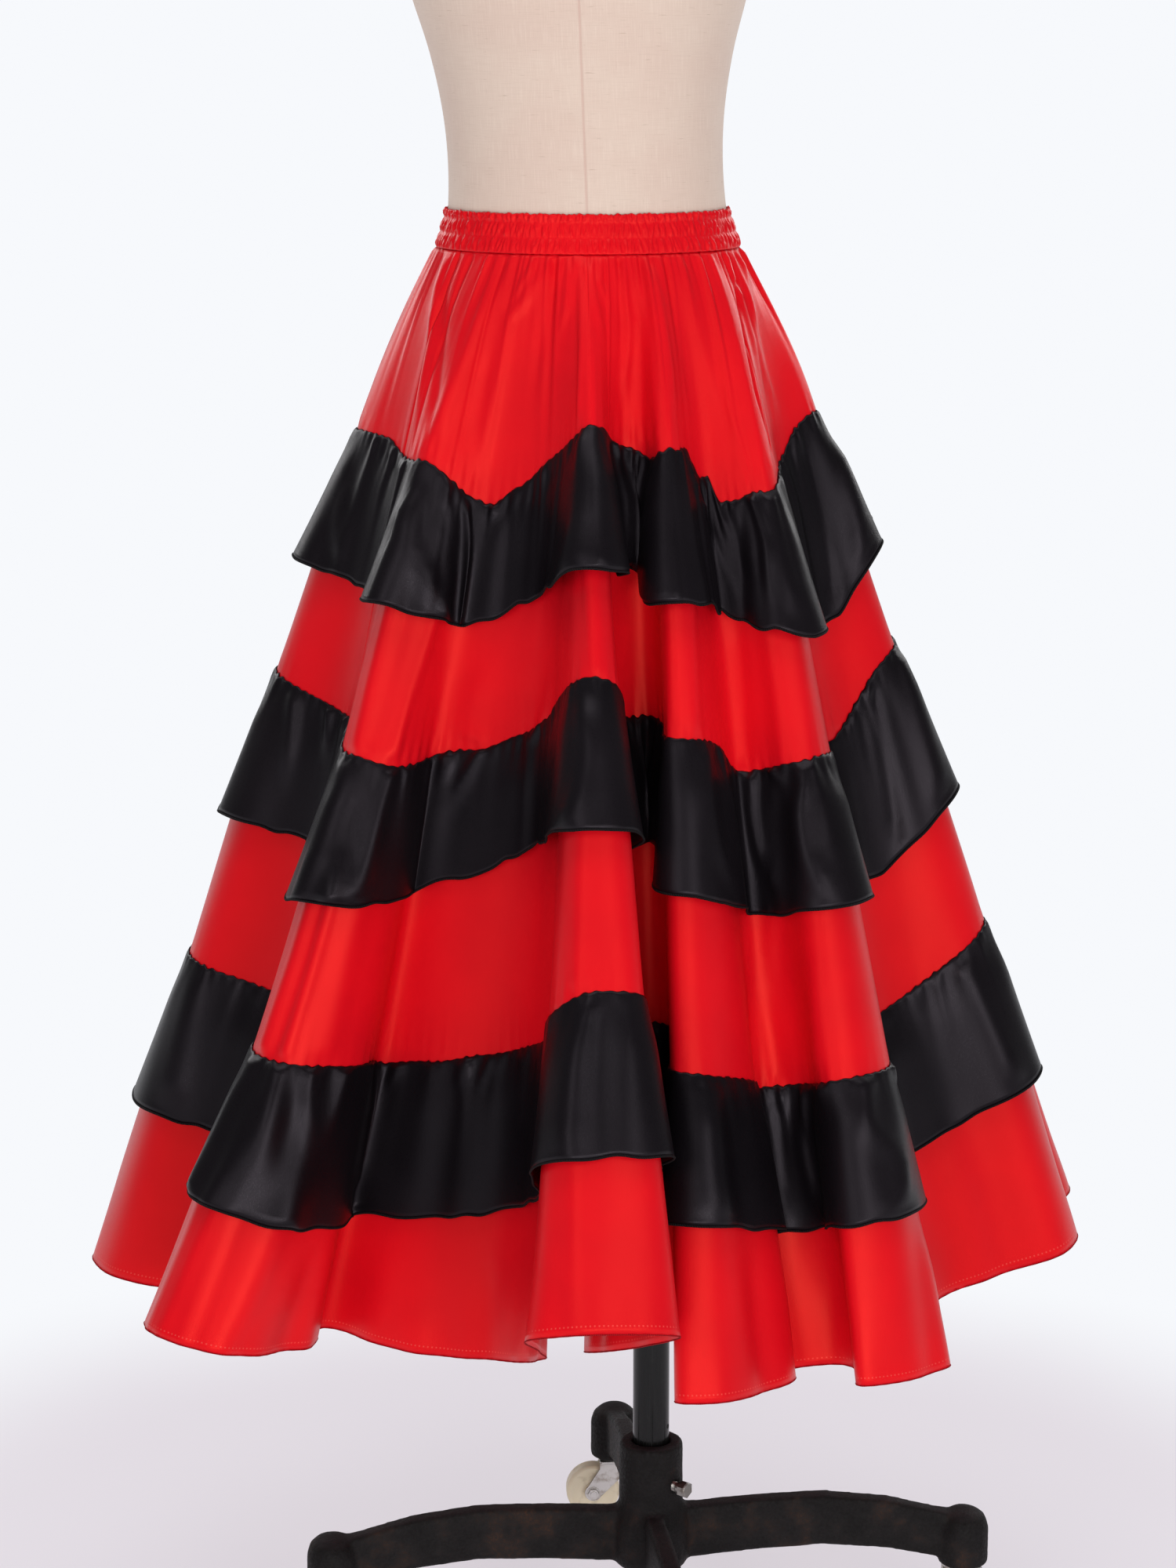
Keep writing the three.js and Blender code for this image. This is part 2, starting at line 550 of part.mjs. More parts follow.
function stackedSolid(sections) {
  const sides = sections[0].length;
  const positions = [];
  const index = [];
  for (const section of sections) for (const p of section) positions.push(p.x, p.y, p.z);
  for (let r = 0; r < sections.length - 1; r += 1) {
    for (let c = 0; c < sides; c += 1) {
      const a = r * sides + c;
      const b = r * sides + (c + 1) % sides;
      index.push(a, b, b + sides, a, b + sides, a + sides);
    }
  }
  const cap = (row, flip) => {
    const section = sections[row];
    const centre = section.reduce((s, p) => s.add(p), new THREE.Vector3()).multiplyScalar(1 / sides);
    const k = positions.length / 3;
    positions.push(centre.x, centre.y, centre.z);
    for (let c = 0; c < sides; c += 1) {
      const a = row * sides + c;
      const b = row * sides + (c + 1) % sides;
      if (flip) index.push(k, b, a); else index.push(k, a, b);
    }
  };
  cap(0, true);
  cap(sections.length - 1, false);
  const geometry = new THREE.BufferGeometry();
  geometry.setAttribute('position', new THREE.Float32BufferAttribute(positions, 3));
  geometry.setIndex(index);
  return geometry;
}

const formBottomZ = FORM_SECTIONS[0].z;
const torso = cut(
  stackedSolid(FORM_SECTIONS.map((s) => formSection(s))),
  rod(POLE_R + FIT, formBottomZ - 5, formBottomZ + SOCKET_DEPTH, POLE_SIDES, POLE_X, POLE_Y),
);
// -------------------------------------------------------------------- stand
const pole = rod(POLE_R, HUB_FLOOR_Z + FIT, formBottomZ + SOCKET_DEPTH - FIT, POLE_SIDES, POLE_X, POLE_Y);

function leg(turn) {
  const shape = new THREE.Shape();
  LEG_PROFILE.forEach(({ out, low }, i) => (i ? shape.lineTo(out, low) : shape.moveTo(out, low)));
  [...LEG_PROFILE].reverse().forEach(({ out, high }) => shape.lineTo(out, high));
  shape.closePath();
  const bevel = 2.5;
  const geometry = new THREE.ExtrudeGeometry(shape, {
    depth: LEG_THICK - 2 * bevel, steps: 1, bevelEnabled: true, bevelThickness: bevel, bevelSize: bevel, bevelOffset: -bevel, bevelSegments: 1,
  });
  geometry.translate(0, 0, -(LEG_THICK - 2 * bevel) / 2);
  geometry.rotateX(Math.PI / 2);
  geometry.rotateZ(rad(turn));
  return geometry;
}

function castBase() {
  const parts = [turned([
    [0, 72], [30, 72], [33, 78], [33, 112], [30, 121], [HUB_R, 126], [HUB_R, HUB_TOP_Z - 2], [HUB_R - 2, HUB_TOP_Z], [0, HUB_TOP_Z],
  ], 24)];
  for (const { turn } of CASTERS) {
    parts.push(leg(turn));
    const cap = turned([
      [0, CAP_BOTTOM_Z], [CAP_R - 2, CAP_BOTTOM_Z], [CAP_R, CAP_BOTTOM_Z + 2], [CAP_R, 92], [CAP_R - 3, 101], [CAP_R - 10, 107], [0, CAP_TOP_Z],
    ], 18);
    cap.translate(LEG_REACH * Math.cos(rad(turn)), LEG_REACH * Math.sin(rad(turn)), 0);
    parts.push(cap);
  }
  const bores = [rod(POLE_R + FIT, HUB_FLOOR_Z, HUB_TOP_Z + 5, POLE_SIDES)];
  for (const { turn } of CASTERS) {
    bores.push(rod(STEM_R + FIT, CAP_BOTTOM_Z - 4, STEM_TOP_Z + FIT, 10, LEG_REACH * Math.cos(rad(turn)), LEG_REACH * Math.sin(rad(turn))));
  }
  const hole = rod(SCREW_R + FIT, 0, 60, 12);
  hole.rotateX(Math.PI / 2);              // from +Z to the front
  hole.rotateZ(rad(SCREW_TURN - BASE_TURN));
  hole.translate(0, 0, SCREW_Z);
  bores.push(hole);
  return cut(join(...parts), ...bores);
}

function setScrew() {
  const start = POLE_R + FIT;
  const body = join(
    rod(SCREW_R, start, HUB_R + 8, 12),
    rod(SCREW_HEAD_R, HUB_R + 6, HUB_R + 13, 6),
  );
  body.rotateX(Math.PI / 2);
  body.rotateZ(rad(SCREW_TURN));
  body.translate(0, 0, SCREW_Z);
  return body;
}

function casterFork() {
  const cheek = (side) => {
    const shape = new THREE.Shape();
    shape.moveTo(-13, CROWN_Z + 3);
    shape.lineTo(-13, CROWN_Z - 6);
    shape.lineTo(CASTER_TRAIL - 8, WHEEL_R - 4);
    shape.absarc(CASTER_TRAIL, WHEEL_R, 8, Math.PI + 0.5, 2 * Math.PI + 0.9, false);
    shape.lineTo(14, CROWN_Z - 4);
    shape.lineTo(14, CROWN_Z + 3);
    shape.closePath();
    const plate = new THREE.ExtrudeGeometry(shape, { depth: FORK_PLATE, steps: 1, bevelEnabled: false, curveSegments: 3 });
    plate.rotateX(Math.PI / 2);
    plate.translate(0, side > 0 ? FORK_INSIDE + FORK_PLATE : -FORK_INSIDE, 0);
    return plate;
  };
  const axle = rod(AXLE_R, -FORK_INSIDE - FORK_PLATE - 2.5, FORK_INSIDE + FORK_PLATE + 2.5, 10);
  axle.rotateX(Math.PI / 2);
  axle.translate(CASTER_TRAIL, 0, WHEEL_R);
  const crown = new THREE.BoxGeometry(27, 2 * (FORK_INSIDE + FORK_PLATE), 3);
  crown.translate(0.5, 0, CROWN_Z + 1.5);
  return join(crown, cheek(1), cheek(-1), axle, rod(11, CROWN_Z + 2, CAP_BOTTOM_Z - FIT, 14), rod(STEM_R, CROWN_Z + 2, STEM_TOP_Z, 10));
}

function casterWheel() {
  const h = WHEEL_WIDTH / 2;
  const tread = WHEEL_R / Math.cos(Math.PI / WHEEL_SIDES);
  const bore = AXLE_R + FIT;
  const profile = [
    [bore, -h], [8, -h], [9, -h + 2], [tread - 3, -h + 1.6], [tread, -h + 4],
    [tread, h - 4], [tread - 3, h - 1.6], [9, h - 2], [8, h], [bore, h], [bore, -h],
  ];
  const geometry = turned(profile, WHEEL_SIDES);
  geometry.rotateZ(Math.PI / WHEEL_SIDES); // a flat, not an edge, faces down
  geometry.rotateX(Math.PI / 2);
  return geometry;
}

// -------------------------------------------------------------------- assembly
const material = (color, roughness, metalness = 0) => new THREE.MeshStandardMaterial({ color, roughness, metalness });
const redSatin = 0xd8151c;
const blackSatin = 0x17151a;

const object = new THREE.Group();
function add(name, geometry, look, parent = object) {
  const mesh = new THREE.Mesh(geometry, look);
  mesh.name = name;
  parent.add(mesh);
  return mesh;
}

add('waistband', waistband(), material(redSatin, 0.42));
add('skirt_front', panel(seamRounds[0], seamRounds[1]), material(redSatin, 0.38));
add('skirt_back', panel(seamRounds[1], seamRounds[0] + HEM_ROUND), material(redSatin, 0.38));
for (const row of RUFFLES) add(row.name, ruffle(row), material(blackSatin, 0.36));

add('form_torso', torso, material(0xcdb4a2, 0.9));
add('stand_pole', pole, material(0x141414, 0.25, 0.3));

const base = new THREE.Group();
base.position.set(POLE_X, POLE_Y, 0);
object.add(base);
add('set_screw', setScrew(), material(0x3b3836, 0.5, 0.8), base);
const cross = new THREE.Group();
cross.rotation.z = rad(BASE_TURN);
base.add(cross);
add('cast_base', castBase(), material(0x2a2725, 0.75, 0.4), cross);
for (const { name, turn, trail } of CASTERS) {
  const caster = new THREE.Group();
  caster.position.set(LEG_REACH * Math.cos(rad(turn)), LEG_REACH * Math.sin(rad(turn)), 0);
  caster.rotation.z = rad(trail - BASE_TURN);
  cross.add(caster);
  add(`caster_fork_${name}`, casterFork(), material(0x8d8b88, 0.4, 0.9), caster);
  const wheel = add(`caster_wheel_${name}`, casterWheel(), material(0xe2d8bf, 0.5), caster);
  wheel.position.set(CASTER_TRAIL, 0, WHEEL_R);
}

// The origin is the middle of the whole part's box at floor level.
object.updateMatrixWorld(true);
const bounds = new THREE.Box3().setFromObject(object, true);
object.children.forEach((child) => {
  child.position.x -= (bounds.min.x + bounds.max.x) / 2;
  child.position.y -= (bounds.min.y + bounds.max.y) / 2;
  child.position.z -= bounds.min.z;
});
object.updateMatrixWorld(true);

export default object;
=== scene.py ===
"""The looks of a flamenco skirt on a limbless dress form with a rolling cast-iron stand.

Sizes are in millimetres in the garment's own axes, as in the part's source: the waist's centre
is at X = 0, Y = 0, the floor is Z = 0, the front faces -Y and the wearer's left is +X.
in_frame() turns them into metres in the part's frame.
"""

import math

import bpy
import numpy as np
from mathutils import Matrix, Vector


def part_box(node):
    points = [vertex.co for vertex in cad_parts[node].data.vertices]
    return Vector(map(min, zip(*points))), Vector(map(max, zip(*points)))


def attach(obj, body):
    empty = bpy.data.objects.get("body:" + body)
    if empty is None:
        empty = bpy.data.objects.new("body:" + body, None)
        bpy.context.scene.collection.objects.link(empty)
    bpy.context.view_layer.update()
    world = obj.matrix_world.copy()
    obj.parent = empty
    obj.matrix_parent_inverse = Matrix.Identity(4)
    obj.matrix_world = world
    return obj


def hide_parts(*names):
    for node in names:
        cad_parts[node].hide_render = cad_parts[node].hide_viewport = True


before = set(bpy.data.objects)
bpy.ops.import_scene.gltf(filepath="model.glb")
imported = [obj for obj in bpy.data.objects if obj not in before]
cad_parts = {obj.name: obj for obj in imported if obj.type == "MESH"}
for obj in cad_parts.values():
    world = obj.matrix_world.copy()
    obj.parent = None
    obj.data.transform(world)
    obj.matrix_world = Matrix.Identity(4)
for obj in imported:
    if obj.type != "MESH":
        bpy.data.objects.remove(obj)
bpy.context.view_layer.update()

MM = 0.001

# ------------------------------------------------------------------ garment sizes
BAND_TOP_Z = 1228                 # top of the elastic waistband above the floor
BAND_BOTTOM_Z = 1193              # where the solid's skirt is gathered into the band
BAND_BOTTOM_HALF = (121.5, 95.5)  # half width and half depth of its lower edge
BAND_SPREAD = 1.5                 # the elastic holds its upper part close to the form
BAND_RAISE = 5                    # the band's seam lies this much above the solid's
BAND_RAISE_FADE = 12              # and the cloth below it follows over about this length
BAND_WALL = 1.6                   # of the solid
WAIST_HALF = (121, 95)            # half width and half depth of the skirt's top edge
SKIRT_LENGTH = 880                # along the cloth from the band to the hem
SEAM_GAP = 0.3                    # between sewn pieces, as in the solids
HIP_FULLNESS = 11                 # how far the gathered cloth stands out below the band
HIP_SWELL = 38                    # the length over which it swells
HIP_END = 640                     # where it ends
SIDE_SEAMS = (-62, 63)            # degrees round the waist from the front centre
CLOTH_THICK = 0.5                 # satin, as it is drawn here
PUCKER_SPACING = 10.5             # of the skirt's cloth at a ruffle's seam
HEM_ROLL = 0.6                    # radius of the rolled hem
OVERLOCK = 1.0                    # radius of the overlocked edge of a ruffle

LIFT_LEVELS = (168, 382, 618, 880)    # the ruffles' seams and the hem, down the cloth
FOLD_SOFTNESS = (5, 75)           # the outline is averaged over this width at the hem, and more above it
NECK_AT = 0.64                    # a fold's neck, as a share of its reach
NECK_OVER_VALLEY = 0.38           # the least share of the way from the valley to the crest that it lies
SHOULDER_DROP = 0.36              # how far a shoulder lies behind the crest, in the fold's half widths

# One row for each hanging fold, as in the part's source. waist: where the fold starts at the band;
# crest, reach: direction and distance of its crest at the hem; half: half width of the lobe; root,
# neck: direction and half width of its foot; pinch: how much narrower it is higher up; billow: how
# far it stands out half way down; valley, dip, flat: direction, distance and half width of the
# valley after it; lift, sag: how much the crest and the valley are drawn up at each of LIFT_LEVELS.
FOLDS = [
    dict(waist=-91, crest=-94, reach=423, half=62, root=-91, neck=52, pinch=0.0, billow=1,
         lift=(21, 20, 3, -24), valley=-71, dip=306, flat=14, sag=(0, 0, -5, -4)),
    dict(waist=-46, crest=-56.5, reach=412, half=40, root=-57, neck=36, pinch=0.1, billow=-6,
         lift=(12, -24, -36, -7), valley=-41, dip=218, flat=84, sag=(-23, -3, -12, 0)),
    dict(waist=0, crest=2, reach=416, half=56, root=-3.5, neck=14, pinch=0.5, billow=2,
         lift=(26, 47, 46, 52), valley=19.5, dip=168, flat=16, sag=(30, 24, 12, 18)),
    dict(waist=28, crest=16.5, reach=352, half=29, root=28, neck=22, pinch=0.1, billow=4,
         lift=(28, 8, -18, -5), valley=34.5, dip=283, flat=14, sag=(-38, -22, -37, 2)),
    dict(waist=58, crest=42.5, reach=382, half=48, root=48, neck=42, pinch=0.1, billow=20,
         lift=(-4, -30, -33, -12), valley=74, dip=296, flat=14, sag=(-4, -4, -10, 0)),
    dict(waist=85, crest=91, reach=414, half=44, root=89, neck=36, pinch=0.1, billow=4,
         lift=(30, 32, 31, 2), valley=100, dip=340, flat=10, sag=(22, 22, 18, 0)),
    dict(waist=103, crest=110, reach=444, half=44, root=112, neck=38, pinch=0.1, billow=6,
         lift=(25, 25, 4, -10), valley=128, dip=282, flat=16, sag=(-12, -12, -8, -2)),
    dict(waist=138, crest=146, reach=410, half=50, root=145, neck=40, pinch=0.2, billow=4,
         lift=(12, 8, 2, -6), valley=162, dip=232, flat=22, sag=(-20, -18, -10, 2)),
    dict(waist=178, crest=180, reach=398, half=52, root=181, neck=38, pinch=0.3, billow=2,
         lift=(24, 30, 26, 18), valley=199, dip=214, flat=14, sag=(-4, -8, -2, 6)),
    dict(waist=212, crest=214, reach=404, half=44, root=213, neck=36, pinch=0.2, billow=4,
         lift=(10, 4, -4, -4), valley=229, dip=262, flat=16, sag=(-20, -18, -12, 0)),
    dict(waist=243, crest=243, reach=412, half=42, root=243, neck=38, pinch=0.1, billow=4,
         lift=(16, 10, 0, -10), valley=255, dip=318, flat=14, sag=(-4, -6, -6, -2)),
]

# The ruffles, from the top. flare, tucked: how far the lower edge stands off on a fold and
# in a valley. top and bottom: how far below the seam's level the sewn edge and the free
# edge lie at (degrees round the waist, mm), because none of them runs level.
RUFFLES = [
    dict(name="upper", seam=168, depth=123, flare=15, tucked=3.5,
         top=((-90, 10), (-71, -14), (-50, 8), (-35, 10), (-28, 4), (-23, -12), (-16, -19), (-4, -6),
              (6, -4), (15, 6), (22, 16), (30, 9), (35, -20), (43, -32), (46, -8), (51, 6), (57, 18),
              (66, 4), (77, -14), (85, 4), (128, 9), (150, -5), (205, 9), (230, -6)),
         bottom=((-90, 126), (-71, 104), (-44, 109), (-29, 109), (-24, 99), (-20, 90), (-13, 97),
                 (-6, 123), (1, 126), (7, 112), (13, 97), (20, 102), (26, 122), (30, 120), (36, 96),
                 (42, 76), (48, 92), (53, 111), (58, 124), (66, 116), (77, 138), (86, 122), (128, 98),
                 (150, 122), (205, 98), (230, 124))),
    dict(name="middle", seam=382, depth=125, flare=9, tucked=3,
         top=((-90, 5), (-71, -6), (-45, -2), (-38, 6), (-31, 7), (-25, 2), (-20, -9), (-12, -12),
              (-3, -2), (6, 4), (18, -3), (29, 2), (37, -11), (44, 0), (53, -6), (59, -9), (73, 12),
              (80, -8), (92, 0), (128, 8), (150, -6), (205, 9), (230, -4)),
         bottom=((-90, 124), (-71, 102), (-48, 116), (-38, 109), (-30, 113), (-25, 102), (-20, 87),
                 (-15, 83), (-8, 104), (-2, 117), (5, 117), (13, 96), (20, 90), (27, 110), (31, 115),
                 (39, 105), (46, 107), (58, 107), (66, 104), (76, 134), (88, 122), (128, 98),
                 (150, 120), (205, 98), (230, 122))),
    dict(name="lower", seam=618, depth=128, flare=6, tucked=2.6,
         top=((-90, 3), (-71, -5), (-40, 0), (-35, 4), (-30, 20), (-26, 13), (-22, 2), (-17, -1),
              (-10, 4), (-5, 10), (-1, 1), (10, 0), (25, -5), (30, 0), (37, -3), (45, 0), (60, 2),
              (128, 5), (150, -4), (205, 6), (230, -3)),
         bottom=((-90, 126), (-71, 120), (-50, 132), (-38, 146), (-31, 155), (-27, 150), (-22, 138),
                 (-17, 131), (-10, 131), (-3, 130), (6, 125), (16, 122), (27, 119), (33, 126),
                 (44, 135), (52, 125), (58, 124), (74, 126), (128, 122), (150, 129), (205, 123),
                 (230, 129))),
]


def crease(width, rise, fade_in, fade_out, *path):
    """A soft crease along a path of (degrees round the waist, mm down the cloth).

    width is its half width, rise its height, or its depth if negative, and the fades are the
    shares of its length over which it starts and ends.
    """
    return dict(path=path, width=width, rise=rise, fade=(fade_in, fade_out))


# Soft creases of the skirt, with paths that start at the band.
CREASES = [
    # pressed fold beside the right side seam, and the trough next to it
    crease(5, 2.2, 0.05, 0.5, (-70, 0), (-67, 30), (-61, 72), (-59.5, 116), (-57, 160)),
    crease(6, -1.8, 0.3, 0.3, (-63, 20), (-55, 76), (-49, 120), (-45, 166)),
    # long slanting ridge and the ridges that fan out from the gathers
    crease(7, 2.6, 0.3, 0.2, (-39, 8), (-40, 40), (-41.5, 84), (-43.5, 132), (-44, 168)),
    crease(3, 1.6, 0.1, 0.5, (-24, 2), (-28, 20), (-31, 34)),
    crease(6, 2.2, 0.1, 0.3, (-21, 6), (-25, 28), (-30, 44), (-30.5, 68), (-31.3, 110), (-32.5, 168)),
    crease(9, -1.8, 0.4, 0.3, (-34, 60), (-36, 110), (-37, 160)),
    crease(4, 1.5, 0.1, 0.6, (-10, 4), (-11, 40), (-14, 70)),
    crease(6, -1.5, 0.2, 0.5, (-16, 10), (-18, 50), (-20, 100)),
    crease(4, 1.8, 0.05, 0.2, (-5.8, 0), (-4.8, 32), (-4.2, 76), (-4.6, 128), (-4.8, 168)),
    crease(4, 1.5, 0.1, 0.6, (0.5, 2), (2.8, 28), (5, 56), (9, 92)),
    crease(3, 1.3, 0.1, 0.6, (7.6, 0), (6.6, 20), (10.8, 50)),
    crease(4.5, 1.8, 0.1, 0.3, (14, 2), (15.7, 32), (17, 56), (16, 84), (14.6, 112), (14.8, 150)),
    crease(8, -1.8, 0.3, 0.3, (19, 10), (20, 60), (19, 120), (19, 160)),
    crease(6, 1.5, 0.1, 0.3, (26.5, 0), (28.9, 32), (30.3, 64), (31.2, 100), (31, 150)),
    crease(7, -1.1, 0.3, 0.4, (36, 10), (37, 50), (39, 110)),
    crease(6, 1.4, 0.1, 0.5, (43, 2), (43.4, 28), (46, 76), (48.5, 120)),
    crease(1.8, 0.7, 0.1, 0.1, (49.9, 92), (51.3, 116), (52.5, 140), (53.6, 186)),
    # the sharp pressed fold beside the left side seam, and the ridge behind it
    crease(2.6, -2.4, 0.05, 0.4, (69.5, 2), (69, 20), (64.5, 44), (61.7, 80), (60.8, 112), (62.5, 150),
           (64.5, 180)),
    crease(6, 2.2, 0.1, 0.4, (78.5, 0), (72.5, 44), (70.5, 68), (71.2, 92), (75.5, 148)),
    # between the upper and the middle ruffle
    crease(10, 2.6, 0.1, 0.05, (-44.7, 230), (-45.3, 308), (-45, 382)),
    crease(5, 2.2, 0.1, 0.05, (-35.5, 235), (-37.6, 305), (-39, 348), (-39.5, 384)),
    crease(8, -1.6, 0.2, 0.1, (-41.6, 250), (-42.2, 320), (-42.6, 380)),
    crease(12, 2.0, 0.5, 0.1, (-24, 300), (-26.4, 350), (-25.2, 380)),
    crease(6, 1.6, 0.4, 0.1, (-12.8, 330), (-15, 362), (-16.8, 384)),
    crease(7, 1.6, 0.2, 0.05, (-2.2, 230), (-1.2, 300), (-0.2, 340), (0, 384)),
    crease(6, 1.4, 0.4, 0.1, (13, 320), (10, 360), (5, 400)),
    crease(9, 1.6, 0.2, 0.1, (32.4, 240), (31, 330), (30.3, 384)),
    crease(9, -2.4, 0.2, 0.1, (45.8, 250), (44.8, 324), (44, 384)),
    crease(9, 1.6, 0.3, 0.1, (52.4, 250), (52.3, 320), (51.2, 384)),
    crease(7, -1.8, 0.3, 0.2, (66, 240), (66.5, 300), (65.5, 370)),
    # between the middle and the lower ruffle
    crease(10, 2.8, 0.2, 0.05, (-45, 440), (-45, 540), (-45.8, 618)),
    crease(5, 2.4, 0.2, 0.05, (-42.7, 440), (-43, 540), (-43.5, 618)),
    crease(6, -2.0, 0.2, 0.05, (-44, 450), (-44.1, 540), (-44.6, 618)),
    crease(11, 1.8, 0.3, 0.1, (-40.2, 450), (-39.8, 560), (-40, 618)),
    crease(9, 1.6, 0.2, 0.05, (-1.5, 450), (-2, 544), (-2, 618)),
    crease(6, 1.6, 0.3, 0.5, (46.8, 470), (45, 516), (45.5, 545)),
    crease(7, 1.2, 0.3, 0.5, (42, 480), (41, 520), (40.5, 560)),
    crease(8, -2.4, 0.5, 0.05, (43.6, 540), (44.3, 596), (44.4, 618)),
    crease(10, 1.4, 0.4, 0.2, (53, 520), (52, 570), (51, 618)),
    # below the lower ruffle, down to the hem
    crease(12, 3.0, 0.3, 0.02, (-46.3, 690), (-46.1, 796), (-46.5, 880)),
    crease(7, 2.4, 0.3, 0.02, (-44.2, 690), (-44.9, 790), (-45.2, 880)),
    crease(9, -3.0, 0.4, 0.02, (-42.6, 700), (-42.8, 800), (-43, 880)),
    crease(14, 4.0, 0.4, 0.02, (-40.2, 700), (-40.6, 790), (-41.2, 880)),
    crease(18, -5.0, 0.5, 0.02, (-36, 760), (-36.4, 820), (-36.6, 880)),
    crease(24, 5.0, 0.6, 0.02, (-27, 760), (-27, 880)),
    crease(16, -4.0, 0.6, 0.02, (-20, 770), (-20, 880)),
    crease(18, 4.5, 0.6, 0.02, (-13, 770), (-13, 880)),
    crease(10, 1.8, 0.3, 0.02, (-2.2, 700), (-1.8, 800), (-1.7, 880)),
    crease(14, 3.5, 0.5, 0.02, (8, 740), (8.4, 810), (8.8, 880)),
    crease(14, -3.5, 0.5, 0.02, (33, 730), (33, 880)),
    crease(16, -5.0, 0.5, 0.02, (47, 760), (46, 820), (45.6, 880)),
    crease(14, 4.5, 0.5, 0.02, (61, 740), (60.6, 810), (60.4, 880)),
    crease(16, 3.5, 0.5, 0.02, (77, 720), (77, 880)),
    crease(16, -3.0, 0.5, 0.02, (90, 700), (90, 880)),
]

